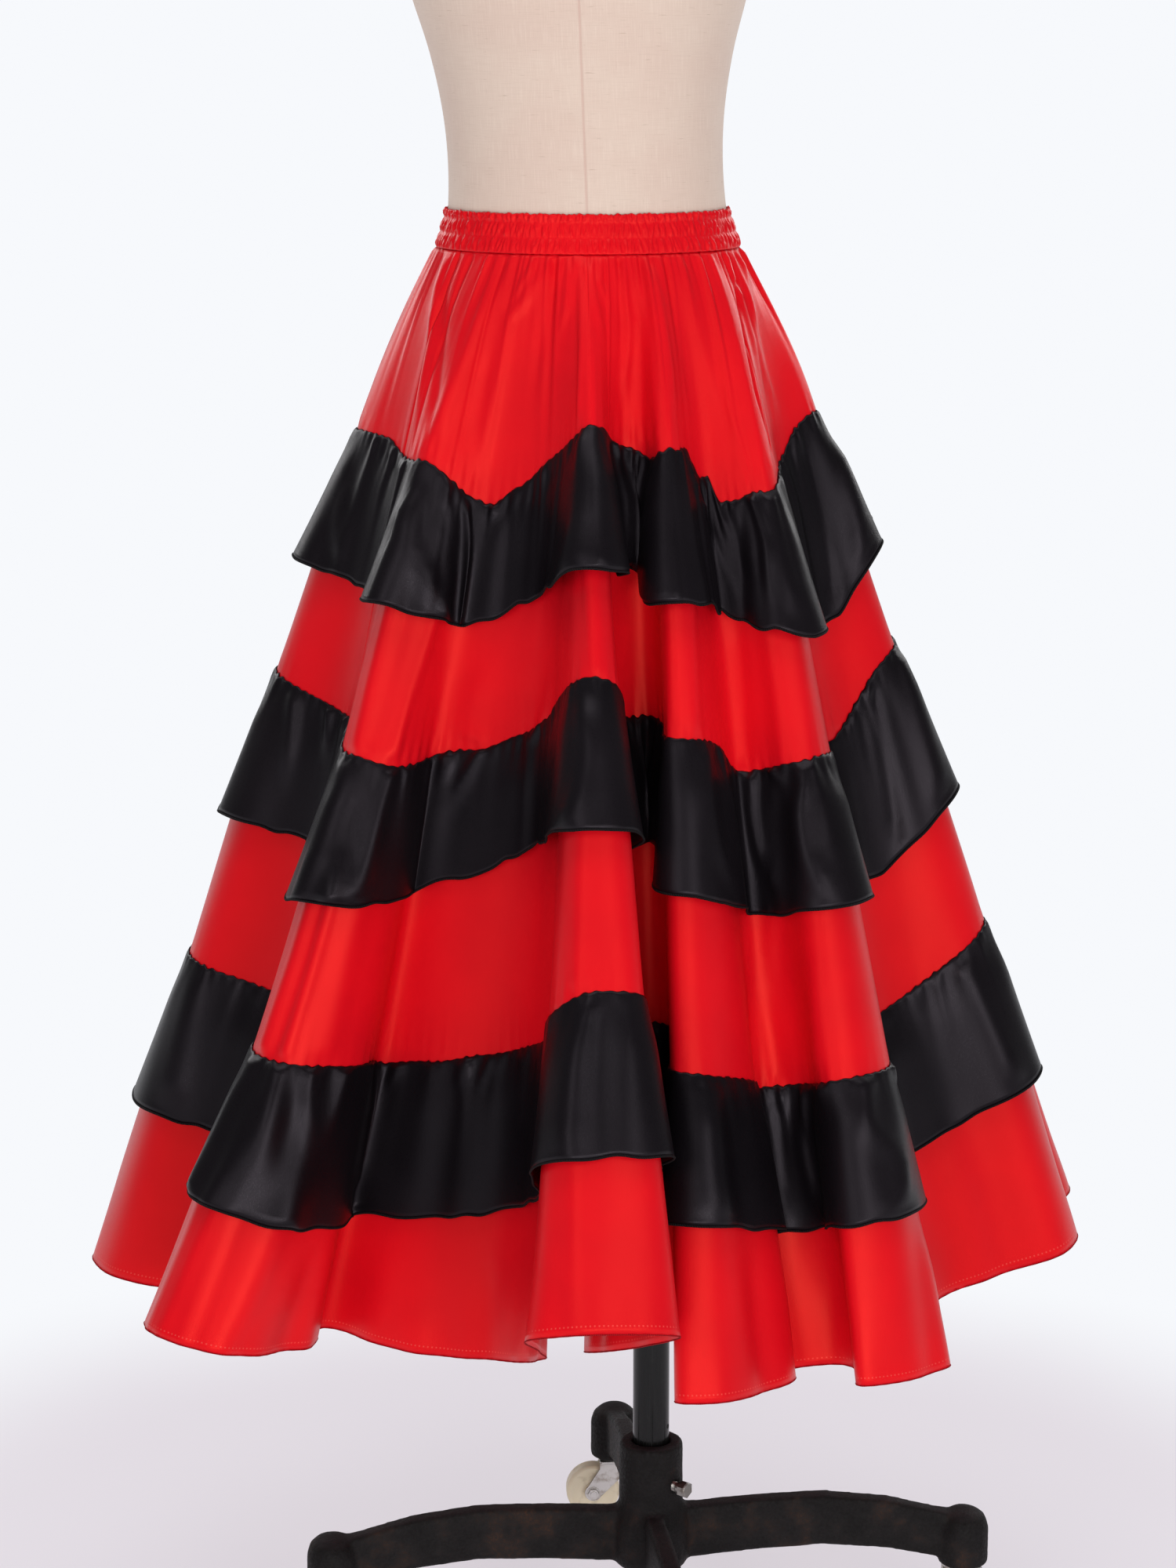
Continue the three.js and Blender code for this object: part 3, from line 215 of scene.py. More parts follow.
# Creases of the ruffles, with paths that start at their own seam.
RUFFLE_CREASES = {
    "upper": [
        crease(9, 2.5, 0.4, 0.2, (-82, 40), (-80, 76), (-77, 110)),
        crease(8, 3.2, 0.3, 0.05, (-43.7, 16), (-45, 44), (-43.3, 68), (-40.3, 90), (-35.5, 123)),
        crease(4.5, 2.4, 0.05, 0.5, (-38.8, 2), (-38.9, 20), (-36.8, 34)),
        crease(4.5, 3.6, 0.1, 0.05, (-34.6, 4), (-32.3, 36), (-31.2, 64), (-30.2, 123)),
        crease(4, 2.0, 0.05, 0.7, (-27, 2), (-26, 20)),
        crease(8, 2.2, 0.1, 0.1, (-4.4, 0), (0.3, 44), (-0.5, 80), (-3, 123)),
        crease(3.5, 2.2, 0.05, 0.6, (11, 1), (12, 16), (13, 30)),
        crease(3.5, 2.4, 0.05, 0.6, (16, 1), (15.4, 14), (14.8, 30)),
        crease(11, 2.2, 0.2, 0.1, (20.8, 4), (18, 60), (18.8, 118)),
        crease(26, 8, 0.5, 0.02, (14, 10), (15, 60), (16, 123)),
        crease(7, 2.2, 0.2, 0.4, (33.6, 4), (35.4, 30), (43, 52), (46.8, 90)),
        crease(4, 2.6, 0.05, 0.6, (45, 1), (46, 18), (48, 40)),
        crease(4, 3.0, 0.05, 0.4, (52.6, 1), (54.2, 44), (53.3, 100)),
        crease(5, 2.8, 0.05, 0.3, (56.5, 1), (56.2, 60), (56.6, 115)),
        crease(9, -2.2, 0.3, 0.3, (50, 20), (49, 60), (50, 100)),
        crease(8, 2.4, 0.3, 0.1, (86.3, 20), (83, 80), (81, 118)),
        crease(8, -2.4, 0.2, 0.1, (78, 4), (78, 60), (77, 118)),
    ],
    "middle": [
        crease(7, 2.4, 0.1, 0.4, (-80, 4), (-78, 40), (-77, 90)),
        crease(5, 2.2, 0.05, 0.6, (-72, 2), (-71, 20), (-70, 50)),
        crease(9, 3.0, 0.1, 0.05, (-46, 2), (-45, 30), (-45.2, 70), (-43.4, 125)),
        crease(6, 3.2, 0.05, 0.1, (-39.4, 2), (-40, 38), (-40.3, 70), (-40.6, 100), (-42.4, 125)),
        crease(7, -2.4, 0.3, 0.2, (-42.6, 20), (-42.8, 60), (-42.4, 95)),
        crease(6, 2.6, 0.05, 0.5, (-24.2, 1), (-25.4, 24), (-27.2, 56)),
        crease(7, 2.2, 0.05, 0.6, (-28.5, 1), (-28.2, 40)),
        crease(6, 2.2, 0.2, 0.1, (-2, 10), (-0.7, 60), (-1.5, 94), (-3, 125)),
        crease(4, 2.4, 0.05, 0.6, (9, 1), (9, 18), (8, 34)),
        crease(4, 2.4, 0.05, 0.6, (14, 1), (14, 20), (13, 40)),
        crease(12, 2.0, 0.3, 0.2, (17, 10), (17, 110)),
        crease(30, 8, 0.5, 0.02, (14, 10), (15, 60), (16, 125)),
        crease(8, 2.4, 0.1, 0.2, (31.5, 2), (31.1, 46), (31.6, 84), (34.8, 118)),
        crease(6, 3.0, 0.05, 0.2, (44.9, 1), (44.6, 40), (45.6, 72), (50.5, 112)),
        crease(5.5, 2.8, 0.05, 0.2, (55, 1), (54.6, 20), (53.2, 40), (53.4, 80), (56, 120)),
        crease(4, 2.2, 0.05, 0.6, (49.2, 1), (51.8, 20)),
        crease(9, -2.2, 0.3, 0.3, (49.5, 24), (49, 60), (50.5, 90)),
        crease(8, 2.4, 0.1, 0.1, (84, 4), (83, 60), (82, 118)),
        crease(7, -2.0, 0.1, 0.1, (79, 4), (78.6, 60), (78, 118)),
    ],
    "lower": [
        crease(10, 2.2, 0.2, 0.1, (-83, 2), (-82, 60), (-81, 120)),
        crease(9, 3.0, 0.05, 0.05, (-46.1, 1), (-47, 52), (-47.2, 90), (-47.2, 128)),
        crease(7, 2.8, 0.05, 0.4, (-43.6, 1), (-43.1, 34), (-42.6, 86)),
        crease(6, 2.4, 0.05, 0.5, (-41.2, 1), (-40.8, 34), (-39.2, 68)),
        crease(6, 2.4, 0.05, 0.5, (-38.1, 1), (-38.2, 38), (-38.8, 64)),
        crease(20, 2.6, 0.4, 0.05, (-42.4, 60), (-41, 100), (-40.5, 128)),
        crease(5, 2.0, 0.05, 0.6, (-28.7, 1), (-29.1, 24)),
        crease(5, 2.2, 0.05, 0.6, (-23.1, 1), (-23.2, 20), (-22.6, 34)),
        crease(5, 2.0, 0.05, 0.6, (-20.8, 1), (-21.3, 20), (-22, 34)),
        crease(14, -3.0, 0.4, 0.05, (-31.5, 96), (-29.6, 128)),
        crease(9, 2.0, 0.1, 0.1, (-1, 2), (-2, 56), (-2.4, 122)),
        crease(14, 2.4, 0.1, 0.1, (29.4, 2), (28, 80), (29, 124)),
        crease(7, 3.0, 0.05, 0.1, (48, 1), (46, 52), (46.6, 96), (49.3, 128)),
        crease(12, -2.4, 0.2, 0.2, (44, 10), (43, 60), (43, 110)),
        crease(9, 2.6, 0.05, 0.1, (57, 1), (55.8, 42), (58.8, 80), (58, 110), (55.5, 126)),
        crease(4, 2.0, 0.05, 0.7, (52, 1), (51.6, 20)),
        crease(4, 2.0, 0.05, 0.7, (61, 1), (61.4, 24)),
        crease(8, 2.6, 0.1, 0.1, (80.5, 4), (81.2, 80), (81.6, 124)),
    ],
}

# Where the sides and the back have like creases, and how many.
HIDDEN_SIDE = (96, 262)           # degrees round the waist
HIDDEN_CREASES = 34
HIDDEN_RUFFLE_CREASES = 22
CREASE_SHARPNESS = 1.35           # heights of all creases, as a share of those in the tables

# ------------------------------------------------------------- dress form and stand
LEAN = -0.038                     # the form's sideways lean for each unit of height
LEAN_FROM_Z = 1210
FORM_SECTIONS = [dict(zip(("z", "half", "front", "back", "square"), row)) for row in (
    (905, 146, 84, 96, 2.2),
    (912, 150, 87, 100, 2.2),
    (965, 158, 93, 107, 2.2),
    (1018, 159, 94, 108, 2.2),
    (1070, 152, 92, 105, 2.2),
    (1125, 137, 88, 98, 2.15),
    (1175, 120.5, 86, 91, 2.1),
    (1205, 114.5, 86, 87, 2.05),
    (1236, 111, 87, 85, 2.05),
    (1290, 111, 94, 91, 2.1),
    (1350, 120.5, 106, 100, 2.15),
    (1398, 134, 117, 103, 2.2),
    (1450, 147, 110, 103, 2.25),
    (1510, 163, 91, 100, 2.35),
    (1555, 170, 74, 92, 2.4),
    (1580, 157, 62, 80, 2.2),
    (1602, 116, 54, 70, 2.0),
    (1622, 76, 50, 62, 2.0),
    (1642, 60, 50, 57, 2.0),
    (1692, 54, 49, 52, 2.0),
    (1697, 50, 45, 48, 2.0),
)]
POLE_X = 54
POLE_Y = -7
POLE_R = 15.5
POLE_BOTTOM_Z = 82.5
SOCKET_DEPTH = 60                 # the pole's socket up into the form
POLE_HOLE_Z = 197
POLE_HOLE_TURN = 68               # degrees from the front
HUB_R = 27.5
SCREW_Z = 147
SCREW_TURN = 50                   # degrees from the front
BASE_TURN = 6.2                   # degrees of the legs from the garment axes
LEG_REACH = 274                   # from the pole to a caster's stem
CASTERS = [                       # the turn of the leg and the way the wheel trails, in degrees
    dict(name="left", turn=180, trail=158),
    dict(name="right", turn=0, trail=205),
    dict(name="far", turn=90, trail=183),
    dict(name="near", turn=270, trail=28),
]
WHEEL_R = 25
WHEEL_WIDTH = 18
WHEEL_BORE = 3.6
CASTER_TRAIL = 20                 # from the stem to the axle
FORK_INSIDE = WHEEL_WIDTH / 2 + 1.2
FORK_PLATE = 2.6
CROWN_Z = 52.5                    # underside of the fork's crown
STEM_R = 5
STEM_TOP_Z = 82
CAP_BOTTOM_Z = 58                 # underside of a leg's end cap

# ----------------------------------------------------------------- camera and light
CAMERA_PLACE = (0, -3070, 1420)
CAMERA_PITCH = 0.213              # radians below the horizon
CAMERA_LENS = 87.19
SENSOR = 36                       # millimetres along the picture's longer side
BACKDROP = (0.93, 0.945, 0.975)
FLOOR_HALF = 30.0                 # metres
ROOM_LIGHT = 0.2                  # what the dim room gives back, as a share of the backdrop
LIGHTS_AIM = (0, 0, 0.85)         # metres
SOFT_BOXES = (                    # name, place in metres, size in metres, watts
    ("key", (-1.5, -3.4, 2.2), (1.4, 2.0), 24),
    ("fill", (1.7, -3.3, 1.6), (1.4, 2.0), 31),
    ("low", (0.3, -3.3, 0.45), (2.2, 0.8), 35),
    ("back_left", (-2.4, 2.7, 2.2), (1.2, 1.8), 34),
    ("back_right", (2.4, 2.7, 2.2), (1.2, 1.8), 34),
    ("top", (0, -0.4, 3.6), (2.4, 2.4), 50),
)

pole_low, pole_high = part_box("stand_pole")
FRAME_SHIFT = (np.array(pole_low + pole_high) / 2 / MM - (POLE_X, POLE_Y, 0)) * (1, 1, 0)


def in_frame(points):
    """Garment millimetres to metres in the part's frame."""
    return (np.asarray(points, float) + FRAME_SHIFT) * MM


# --------------------------------------------------------------------- small helpers
def lerp(a, b, t):
    return a + (b - a) * t


def smooth(t):
    t = np.clip(t, 0, 1)
    return t * t * (3 - 2 * t)


def unit(v):
    return v / np.maximum(np.linalg.norm(v, axis=-1, keepdims=True), 1e-12)


def towards(degrees):
    angle = np.radians(degrees)
    return np.stack([np.sin(angle), -np.cos(angle)], -1)


def across(degrees):
    angle = np.radians(degrees)
    return np.stack([np.cos(angle), np.sin(angle)], -1)


def add_object(name, data):
    piece = bpy.data.objects.new(name, data)
    bpy.context.scene.collection.objects.link(piece)
    return piece


def mesh_object(name, points, faces, uvs=None):
    """A smooth-shaded piece from garment points and faces; uvs has one pair for each corner."""
    mesh = bpy.data.meshes.new(name)
    mesh.from_pydata(in_frame(points).tolist(), [], [list(f) for f in faces])
    if uvs is not None:
        mesh.uv_layers.new(name="UVMap").data.foreach_set("uv", np.asarray(uvs, np.float32).ravel())
    mesh.shade_smooth()
    mesh.update()
    return add_object(name, mesh)


def quad_corners(row_steps, column_steps):
    """Row and column of the four corners of each quad of a grid."""
    r, c = np.meshgrid(np.arange(row_steps), np.arange(column_steps), indexing="ij")
    return [(r, c), (r + 1, c), (r + 1, c + 1), (r, c + 1)]


def quad_faces(corners, rows, columns):
    """Faces of the quads; a corner past the last row or column is on the first."""
    return np.stack([r % rows * columns + c % columns for r, c in corners], -1).reshape(-1, 4).tolist()


def corner_uvs(corners, uv_at):
    return np.stack([uv_at(r, c) for r, c in corners], -2).reshape(-1, 2).tolist()


def sheet_object(name, grid, uv, ring=False):
    """A sheet of quads through grid[row][column]; a ring joins its last column to its first.

    uv[row][column] is in metres of cloth and has one more column than a ring's grid.
    """
    rows, columns = grid.shape[:2]
    corners = quad_corners(rows - 1, columns if ring else columns - 1)
    faces = quad_faces(corners, rows, columns)
    return mesh_object(name, grid.reshape(-1, 3), faces, corner_uvs(corners, lambda r, c: uv[r, c]))


def thicken(piece, thickness, offset=0):
    wall = piece.modifiers.new("thickness", "SOLIDIFY")
    wall.thickness = thickness * MM
    wall.offset = offset
    wall.use_even_offset = False


TUBE_SIDES = 6


def tube_object(name, line, radii, closed=True):
    """A tube along a line of points, with its texture laid out in metres along it."""
    ahead = np.roll(line, -1, axis=0) - np.roll(line, 1, axis=0)
    if not closed:
        ahead[0] = line[1] - line[0]
        ahead[-1] = line[-1] - line[-2]
    along = unit(ahead)
    side = unit(np.cross(along, (0, 0, 1)))
    up = np.cross(side, along)
    angles = 2 * np.pi * np.arange(TUBE_SIDES) / TUBE_SIDES
    radii = np.broadcast_to(np.asarray(radii, float), (len(line),))[:, None, None]
    ring = np.cos(angles)[None, :, None] * side[:, None, :] + np.sin(angles)[None, :, None] * up[:, None, :]
    points = line[:, None, :] + ring * radii
    travelled = np.concatenate([[0], np.cumsum(np.linalg.norm(np.diff(line, axis=0), axis=1))])
    step = np.append(travelled, travelled[-1] + np.linalg.norm(line[0] - line[-1]))
    count = len(line)
    corners = quad_corners(count if closed else count - 1, TUBE_SIDES)
    faces = quad_faces(corners, count, TUBE_SIDES)
    uvs = corner_uvs(corners, lambda i, k: np.stack([step[i] * MM, k / TUBE_SIDES], -1))
    if not closed:
        for end, order in ((0, range(TUBE_SIDES)), (count - 1, range(TUBE_SIDES - 1, -1, -1))):
            faces.append([end * TUBE_SIDES + k for k in order])
            uvs += [[step[end] * MM, 0]] * TUBE_SIDES
    return mesh_object(name, points.reshape(-1, 3), faces, uvs)


# ------------------------------------------------------------- the skirt's surface
PER_KNOT = 24
KNOTS_PER_FOLD = 8
CREST_KNOT = 2
VALLEY_KNOT = 6
OUTLINE_SAMPLES = 4096


def neck_point(fold, dip, sign):
    radius = max(fold["reach"] * NECK_AT, lerp(dip, fold["reach"], NECK_OVER_VALLEY))
    return towards(fold["root"]) * radius + across(fold["root"]) * sign * fold["neck"]


def hem_knots():
    """The hem's outline from above: neck, shoulder, crest, shoulder, neck and valley of each fold."""
    knots = []
    for i, fold in enumerate(FOLDS):
        before = FOLDS[i - 1]
        after = FOLDS[(i + 1) % len(FOLDS)]
        crest = towards(fold["crest"]) * fold["reach"]
        shoulder = towards(fold["crest"]) * (fold["reach"] - SHOULDER_DROP * fold["half"])
        side = across(fold["crest"]) * fold["half"]
        floor = towards(fold["valley"]) * fold["dip"]
        this_neck = neck_point(fold, fold["dip"], 1)
        along = unit(neck_point(after, fold["dip"], -1) - this_neck) * fold["flat"]
        knots += [neck_point(fold, before["dip"], -1), shoulder - side, crest, shoulder + side,
                  this_neck, floor - along, floor, floor + along]
    return np.array(knots)


def closed_curve(knots):
    """A closed centripetal Catmull-Rom curve with PER_KNOT points for each knot."""
    p0, p1, p2, p3 = (np.roll(knots, shift, axis=0) for shift in (1, 0, -1, -2))
    d0, d1, d2 = (np.linalg.norm(b - a, axis=1)[:, None] ** 0.5 for a, b in ((p0, p1), (p1, p2), (p2, p3)))
    start = ((p1 - p0) / d0 - (p2 - p0) / (d0 + d1) + (p2 - p1) / d1) * d1
    stop = ((p2 - p1) / d1 - (p3 - p1) / (d1 + d2) + (p3 - p2) / d2) * d1
    w = (np.arange(PER_KNOT) / PER_KNOT)[None, :, None]
    p1, p2, start, stop = (v[:, None, :] for v in (p1, p2, start, stop))
    squared = 3 * (p2 - p1) - 2 * start - stop
    cubed = 2 * (p1 - p2) + start + stop
    return (p1 + start * w + squared * w**2 + cubed * w**3).reshape(-1, 2)


dense = closed_curve(hem_knots())
arc = np.concatenate([[0], np.cumsum(np.linalg.norm(np.roll(dense, -1, axis=0) - dense, axis=1))])
HEM_ROUND = arc[-1]
fold_step = KNOTS_PER_FOLD * PER_KNOT
crest_rounds = arc[CREST_KNOT * PER_KNOT::fold_step][:len(FOLDS)]
valley_rounds = arc[VALLEY_KNOT * PER_KNOT::fold_step][:len(FOLDS)]
station_rounds = np.stack([crest_rounds, valley_rounds], 1).ravel()
crest_waists = np.array([fold["waist"] for fold in FOLDS], float)
CREST_LOOP = np.append(crest_rounds, crest_rounds[0] + HEM_ROUND)
WAIST_LOOP = np.append(crest_waists, crest_waists[0] + 360)


def station_values(on_crest, in_valley):
    return np.array([value for fold in FOLDS for value in (on_crest(fold), in_valley(fold))], float)


STATIONS = {
    "lifts": station_values(lambda fold: fold["lift"], lambda fold: fold["sag"]),
    "open": station_values(lambda fold: 1, lambda fold: 0),
    "pinch": station_values(lambda fold: fold["pinch"], lambda fold: 0),
    "billow": station_values(lambda fold: fold["billow"], lambda fold: 0),
}


def carried(rounds, name):
    """A value of the crests and valleys, eased from each to the next."""
    values = STATIONS[name]
    r = np.mod(rounds - station_rounds[0], HEM_ROUND) + station_rounds[0]
    i = np.searchsorted(station_rounds, r, side="right") - 1
    j = (i + 1) % len(station_rounds)
    t = smooth((r - station_rounds[i]) / np.mod(station_rounds[j] - station_rounds[i], HEM_ROUND))
    return lerp(values[i], values[j], t[..., None] if values.ndim > 1 else t)


def waist_turn(rounds):
    return np.interp(np.mod(rounds - CREST_LOOP[0], HEM_ROUND) + CREST_LOOP[0], CREST_LOOP, WAIST_LOOP)


def round_at(turn):
    """The distance round the hem of the cloth that starts at this turn of the waist."""
    return np.interp(np.mod(np.subtract(turn, WAIST_LOOP[0]), 360) + WAIST_LOOP[0], WAIST_LOOP, CREST_LOOP)


def around(pairs, turns):
    """A value given at some turns of the waist, eased between them all the way round."""
    at, values = np.array(pairs, float).T
    at, values = np.append(at, at[0] + 360), np.append(values, values[0])
    turn = np.mod(turns - at[0], 360) + at[0]
    i = np.clip(np.searchsorted(at, turn, side="right") - 1, 0, len(at) - 2)
    t = (turn - at[i]) / (at[i + 1] - at[i])
    return lerp(values[i], values[i + 1], lerp(t, smooth(t), 0.5))


even_rounds = np.arange(OUTLINE_SAMPLES) * HEM_ROUND / OUTLINE_SAMPLES
hem_even = np.stack([np.interp(even_rounds, arc, np.append(dense[:, k], dense[0, k])) for k in (0, 1)], 1)
hem_waves = np.fft.rfft(hem_even, axis=0)
wave_numbers = 2 * np.pi * np.arange(len(hem_waves)) / HEM_ROUND


def hem_points(rounds, down):
    """The hem's outline, averaged over the width that suits a level above it."""
    width = FOLD_SOFTNESS[0] + FOLD_SOFTNESS[1] * max(0, 1 - down / SKIRT_LENGTH) ** 1.6
    kept = np.exp(-0.5 * (wave_numbers * width) ** 2)[:, None]
    softened = np.fft.irfft(hem_waves * kept, OUTLINE_SAMPLES, axis=0)
    at = np.append(even_rounds, HEM_ROUND)
    r = np.mod(rounds, HEM_ROUND)
    return np.stack([np.interp(r, at, np.append(softened[:, k], softened[0, k])) for k in (0, 1)], -1)


def waist_points(degrees, half=WAIST_HALF):
    d = towards(degrees)
    return d / np.linalg.norm(d / np.array(half), axis=-1, keepdims=True)


def cloth_row(rounds, down):
    """The skirt's cloth at one distance from the band, without its small creases."""
    top = waist_points(waist_turn(rounds))
    t = down / SKIRT_LENGTH
    p = lerp(top, hem_points(rounds, down), t)
    puff = HIP_FULLNESS * (1 - math.exp(-down / HIP_SWELL)) * max(0, 1 - down / HIP_END)
    p = p + unit(p) * (puff + carried(rounds, "billow") * 4 * t * (1 - t))[:, None]
    gaps = np.mod(rounds[:, None] - crest_rounds[None, :] + HEM_ROUND / 2, HEM_ROUND) - HEM_ROUND / 2
    near = np.abs(gaps).argmin(1)
    crest_low = hem_points(crest_rounds, down)
    line = lerp(waist_points(crest_waists), crest_low, t)[near]
    side = unit(np.stack([-crest_low[:, 1], crest_low[:, 0]], 1))[near]
    narrow = carried(rounds, "pinch") * carried(rounds, "open") * max(0, 1 - t) ** 0.8
    p = p - side * (narrow * ((p - line) * side).sum(1))[:, None]
    sideways = np.linalg.norm(p - top, axis=1)
    lifts = carried(rounds, "lifts")
    if down <= LIFT_LEVELS[0]:
        lifted = lifts[:, 0] * smooth(down / LIFT_LEVELS[0])
    else:
        lifted = np.array([np.interp(down, LIFT_LEVELS, each) for each in lifts])
    slack = np.maximum(down - lifted, sideways + 1e-6)
    z = BAND_BOTTOM_Z - SEAM_GAP - np.sqrt(slack**2 - sideways**2)
    return np.column_stack([p, z])


def uneven_waves(share, count, seed):
    """About count waves round a loop, from -1 to 1, uneven in spacing and height.

    share is the way round the loop, from 0 to 1.
    """
    rng = np.random.default_rng(seed)
    a, b, c, d = rng.uniform(0, 2 * np.pi, 4)
    turn = 2 * np.pi * share
    phase = count * turn + 1.5 * np.sin(7 * turn + a) + 1.1 * np.sin(17 * turn + b)
    phase += 0.7 * np.sin(41 * turn + c)
    height = 0.66 + 0.34 * np.sin(29 * turn + d) * np.sin(11 * turn + a)
    return np.cos(phase) * height


def grid_normals(points):
    """Outward normals of a ring of points [row][column]."""
    down = np.gradient(points, axis=0)
    along = np.roll(points, -1, axis=1) - np.roll(points, 1, axis=1)
    return unit(np.cross(down, along))


def crease_rise(one, downs, rounds, spread):
    """Height of one crease on a grid. spread is the cloth's length for each unit of round there."""
    turns, places = np.array(one["path"], float).T
    fade_in, fade_out = one["fade"]
    share = (downs - places[0]) / (places[-1] - places[0])
    fade = smooth(share / fade_in) * smooth((1 - share) / fade_out) * (share >= 0) * (share <= 1)
    if places[-1] >= SKIRT_LENGTH - 1:      # a crease that runs out over the hem is at its fullest there
        fade = smooth(share / fade_in) * (share >= 0)
    middle = round_at(np.interp(downs, places, turns))
    offset = np.mod(rounds[None, :] - middle[:, None] + HEM_ROUND / 2, HEM_ROUND) - HEM_ROUND / 2
    height = CREASE_SHARPNESS * one["rise"]
    return height * fade[:, None] * np.exp(-((offset * spread / one["width"]) ** 2))


def hidden_creases(count, rows, seed):
    """Creases like the ones in front, set round the back: uneven in place, length, width and height."""
    rng = np.random.default_rng(seed)
    made = []
    for i in range(count):
        turn = lerp(*HIDDEN_SIDE, (i + rng.uniform(0.2, 0.8)) / count)
        top, bottom = rows[rng.integers(len(rows))]
        length = (bottom - top) * rng.uniform(0.5, 1)
        start = top if rng.random() < 0.6 else bottom - length
        drift = rng.uniform(-2.5, 2.5)
        path = (turn, start), (turn + drift * 0.6, start + length / 2), (turn + drift, start + length)
        width = rng.uniform(4, 10)
        rise = rng.choice([1, 1, -1]) * rng.uniform(1.3, 2.8)
        made.append(crease(width, rise, 0.15, 0.35, *path))
    return made


class Cloth:
    """The skirt's cloth as a fine grid of points, rows down it and columns round it."""

    ROWS = 221
    COLUMNS = 2600

    def __init__(self):
        self.downs = np.linspace(0, SKIRT_LENGTH, self.ROWS)
        self.rounds = np.arange(self.COLUMNS) * HEM_ROUND / self.COLUMNS
        plain = np.stack([cloth_row(self.rounds, down) for down in self.downs])
        plain[..., 2] += BAND_RAISE * np.exp(-self.downs / BAND_RAISE_FADE)[:, None]
        step = np.linalg.norm(np.roll(plain, -1, axis=1) - plain, axis=2)
        self.spread = step / (HEM_ROUND / self.COLUMNS)
        self.lengths = np.concatenate([np.zeros((self.ROWS, 1)), np.cumsum(step, axis=1)], axis=1)
        self.normals = grid_normals(plain)
        self.open = carried(self.rounds, "open")
        rise = self.gathers() + self.seam_puckers() + self.sway() + self.creases()
        self.points = plain + self.normals * rise[..., None]

    def lengths_at(self, down):
        """Length of cloth from the first column to each, and all round, at this distance from the band."""
        return self.lengths[int(round(down / SKIRT_LENGTH * (self.ROWS - 1)))]

    def share_at(self, down):
        """Each column's share of the way round the cloth at this distance from the band."""
        lengths = self.lengths_at(down)
        return lengths[:-1] / lengths[-1]

    def gathers(self):
        """Small gathers that leave the band, each dying out after its own length."""
        share = self.share_at(0)
        strong = (0.5 + 0.5 * uneven_waves(share, 37, 5)) ** 2
        reach = 10 + 44 * strong
        fine = uneven_waves(share, 104, 6)
        broad = uneven_waves(share, 46, 7) * (0.35 + 1.5 * strong)
        down = self.downs[:, None]
        start = smooth(down / 5)
        short = 1.3 * fine * np.exp(-down / (0.7 * reach))
        long = 2.3 * broad * np.exp(-down / (2.2 * reach))
        return start * (short + long)

    def seam_puckers(self):
        """The cloth is drawn in a little above and below each ruffle's seam."""
        total = 0
        for row in RUFFLES:
            share = self.share_at(row["seam"])
            length = self.lengths[int(row["seam"] / SKIRT_LENGTH * (self.ROWS - 1)), -1]
            count = length / PUCKER_SPACING
            fine = uneven_waves(share, round(count), row["seam"])
            above = np.maximum(row["seam"] - self.downs, 0)[:, None]
            below = np.maximum(self.downs - row["seam"], 0)[:, None]
            reach = 7 + 9 * (0.5 + 0.5 * uneven_waves(share, round(count / 3), row["seam"] + 1))
            total += 0.8 * fine * (1.25 - 0.5 * self.open) * np.exp(-above / reach) * np.exp(-below / 6)
        return total

    def sway(self):
        """Slow swells that leave no stretch of the cloth quite straight."""
        t = (self.downs / SKIRT_LENGTH)[:, None]
        turn = 2 * np.pi * self.rounds[None, :] / HEM_ROUND
        swell = np.cos(31 * turn + 5.0 * t + 0.6) * np.cos(9 * t + 2 * turn)
        swell += 0.7 * np.cos(47 * turn - 4.0 * t + 2.1) * np.cos(13 * t - 5 * turn + 1)
        swell += 0.5 * np.cos(71 * turn + 6.0 * t + 4.0) * np.cos(17 * t + 3 * turn + 2)
        share = self.share_at(SKIRT_LENGTH)
        hem = uneven_waves(share, 84, 41) + uneven_waves(share, 37, 42)
        return 0.9 * swell * t**0.8 * smooth(t / 0.12) + 1.4 * hem * smooth((t - 0.92) / 0.08)

    def creases(self):
        between_ruffles = ((0, 168), (210, 382), (440, 618), (700, 880))
        every = CREASES + hidden_creases(HIDDEN_CREASES, between_ruffles, 11)
        return sum(crease_rise(one, self.downs, self.rounds, self.spread) for one in every)

    def sample(self, rounds, downs):
        """Points and normals at places given by distance round the hem and from the band."""
        row = np.clip(np.asarray(downs, float) / SKIRT_LENGTH, 0, 1) * (self.ROWS - 1)
        column = np.mod(rounds, HEM_ROUND) / HEM_ROUND * self.COLUMNS
        r0 = np.minimum(row.astype(int), self.ROWS - 2)
        c0 = column.astype(int) % self.COLUMNS
        c1 = (c0 + 1) % self.COLUMNS
        s = (row - r0)[..., None]
        t = (column - column.astype(int))[..., None]

        def blend(grid):
            return lerp(lerp(grid[r0, c0], grid[r0, c1], t), lerp(grid[r0 + 1, c0], grid[r0 + 1, c1], t), s)

        return blend(self.points), unit(blend(self.normals))


def ruffle_edges(row, turns):
    """How far down the cloth a ruffle's sewn edge and its free edge lie."""
    return (row["seam"] + around(row[edge], turns) for edge in ("top", "bottom"))


BEND_REACH = 5                    # points of the outline before and after, for its bend at a point
BEND_WEIGHT = 25
BEND_LIMIT = 0.06


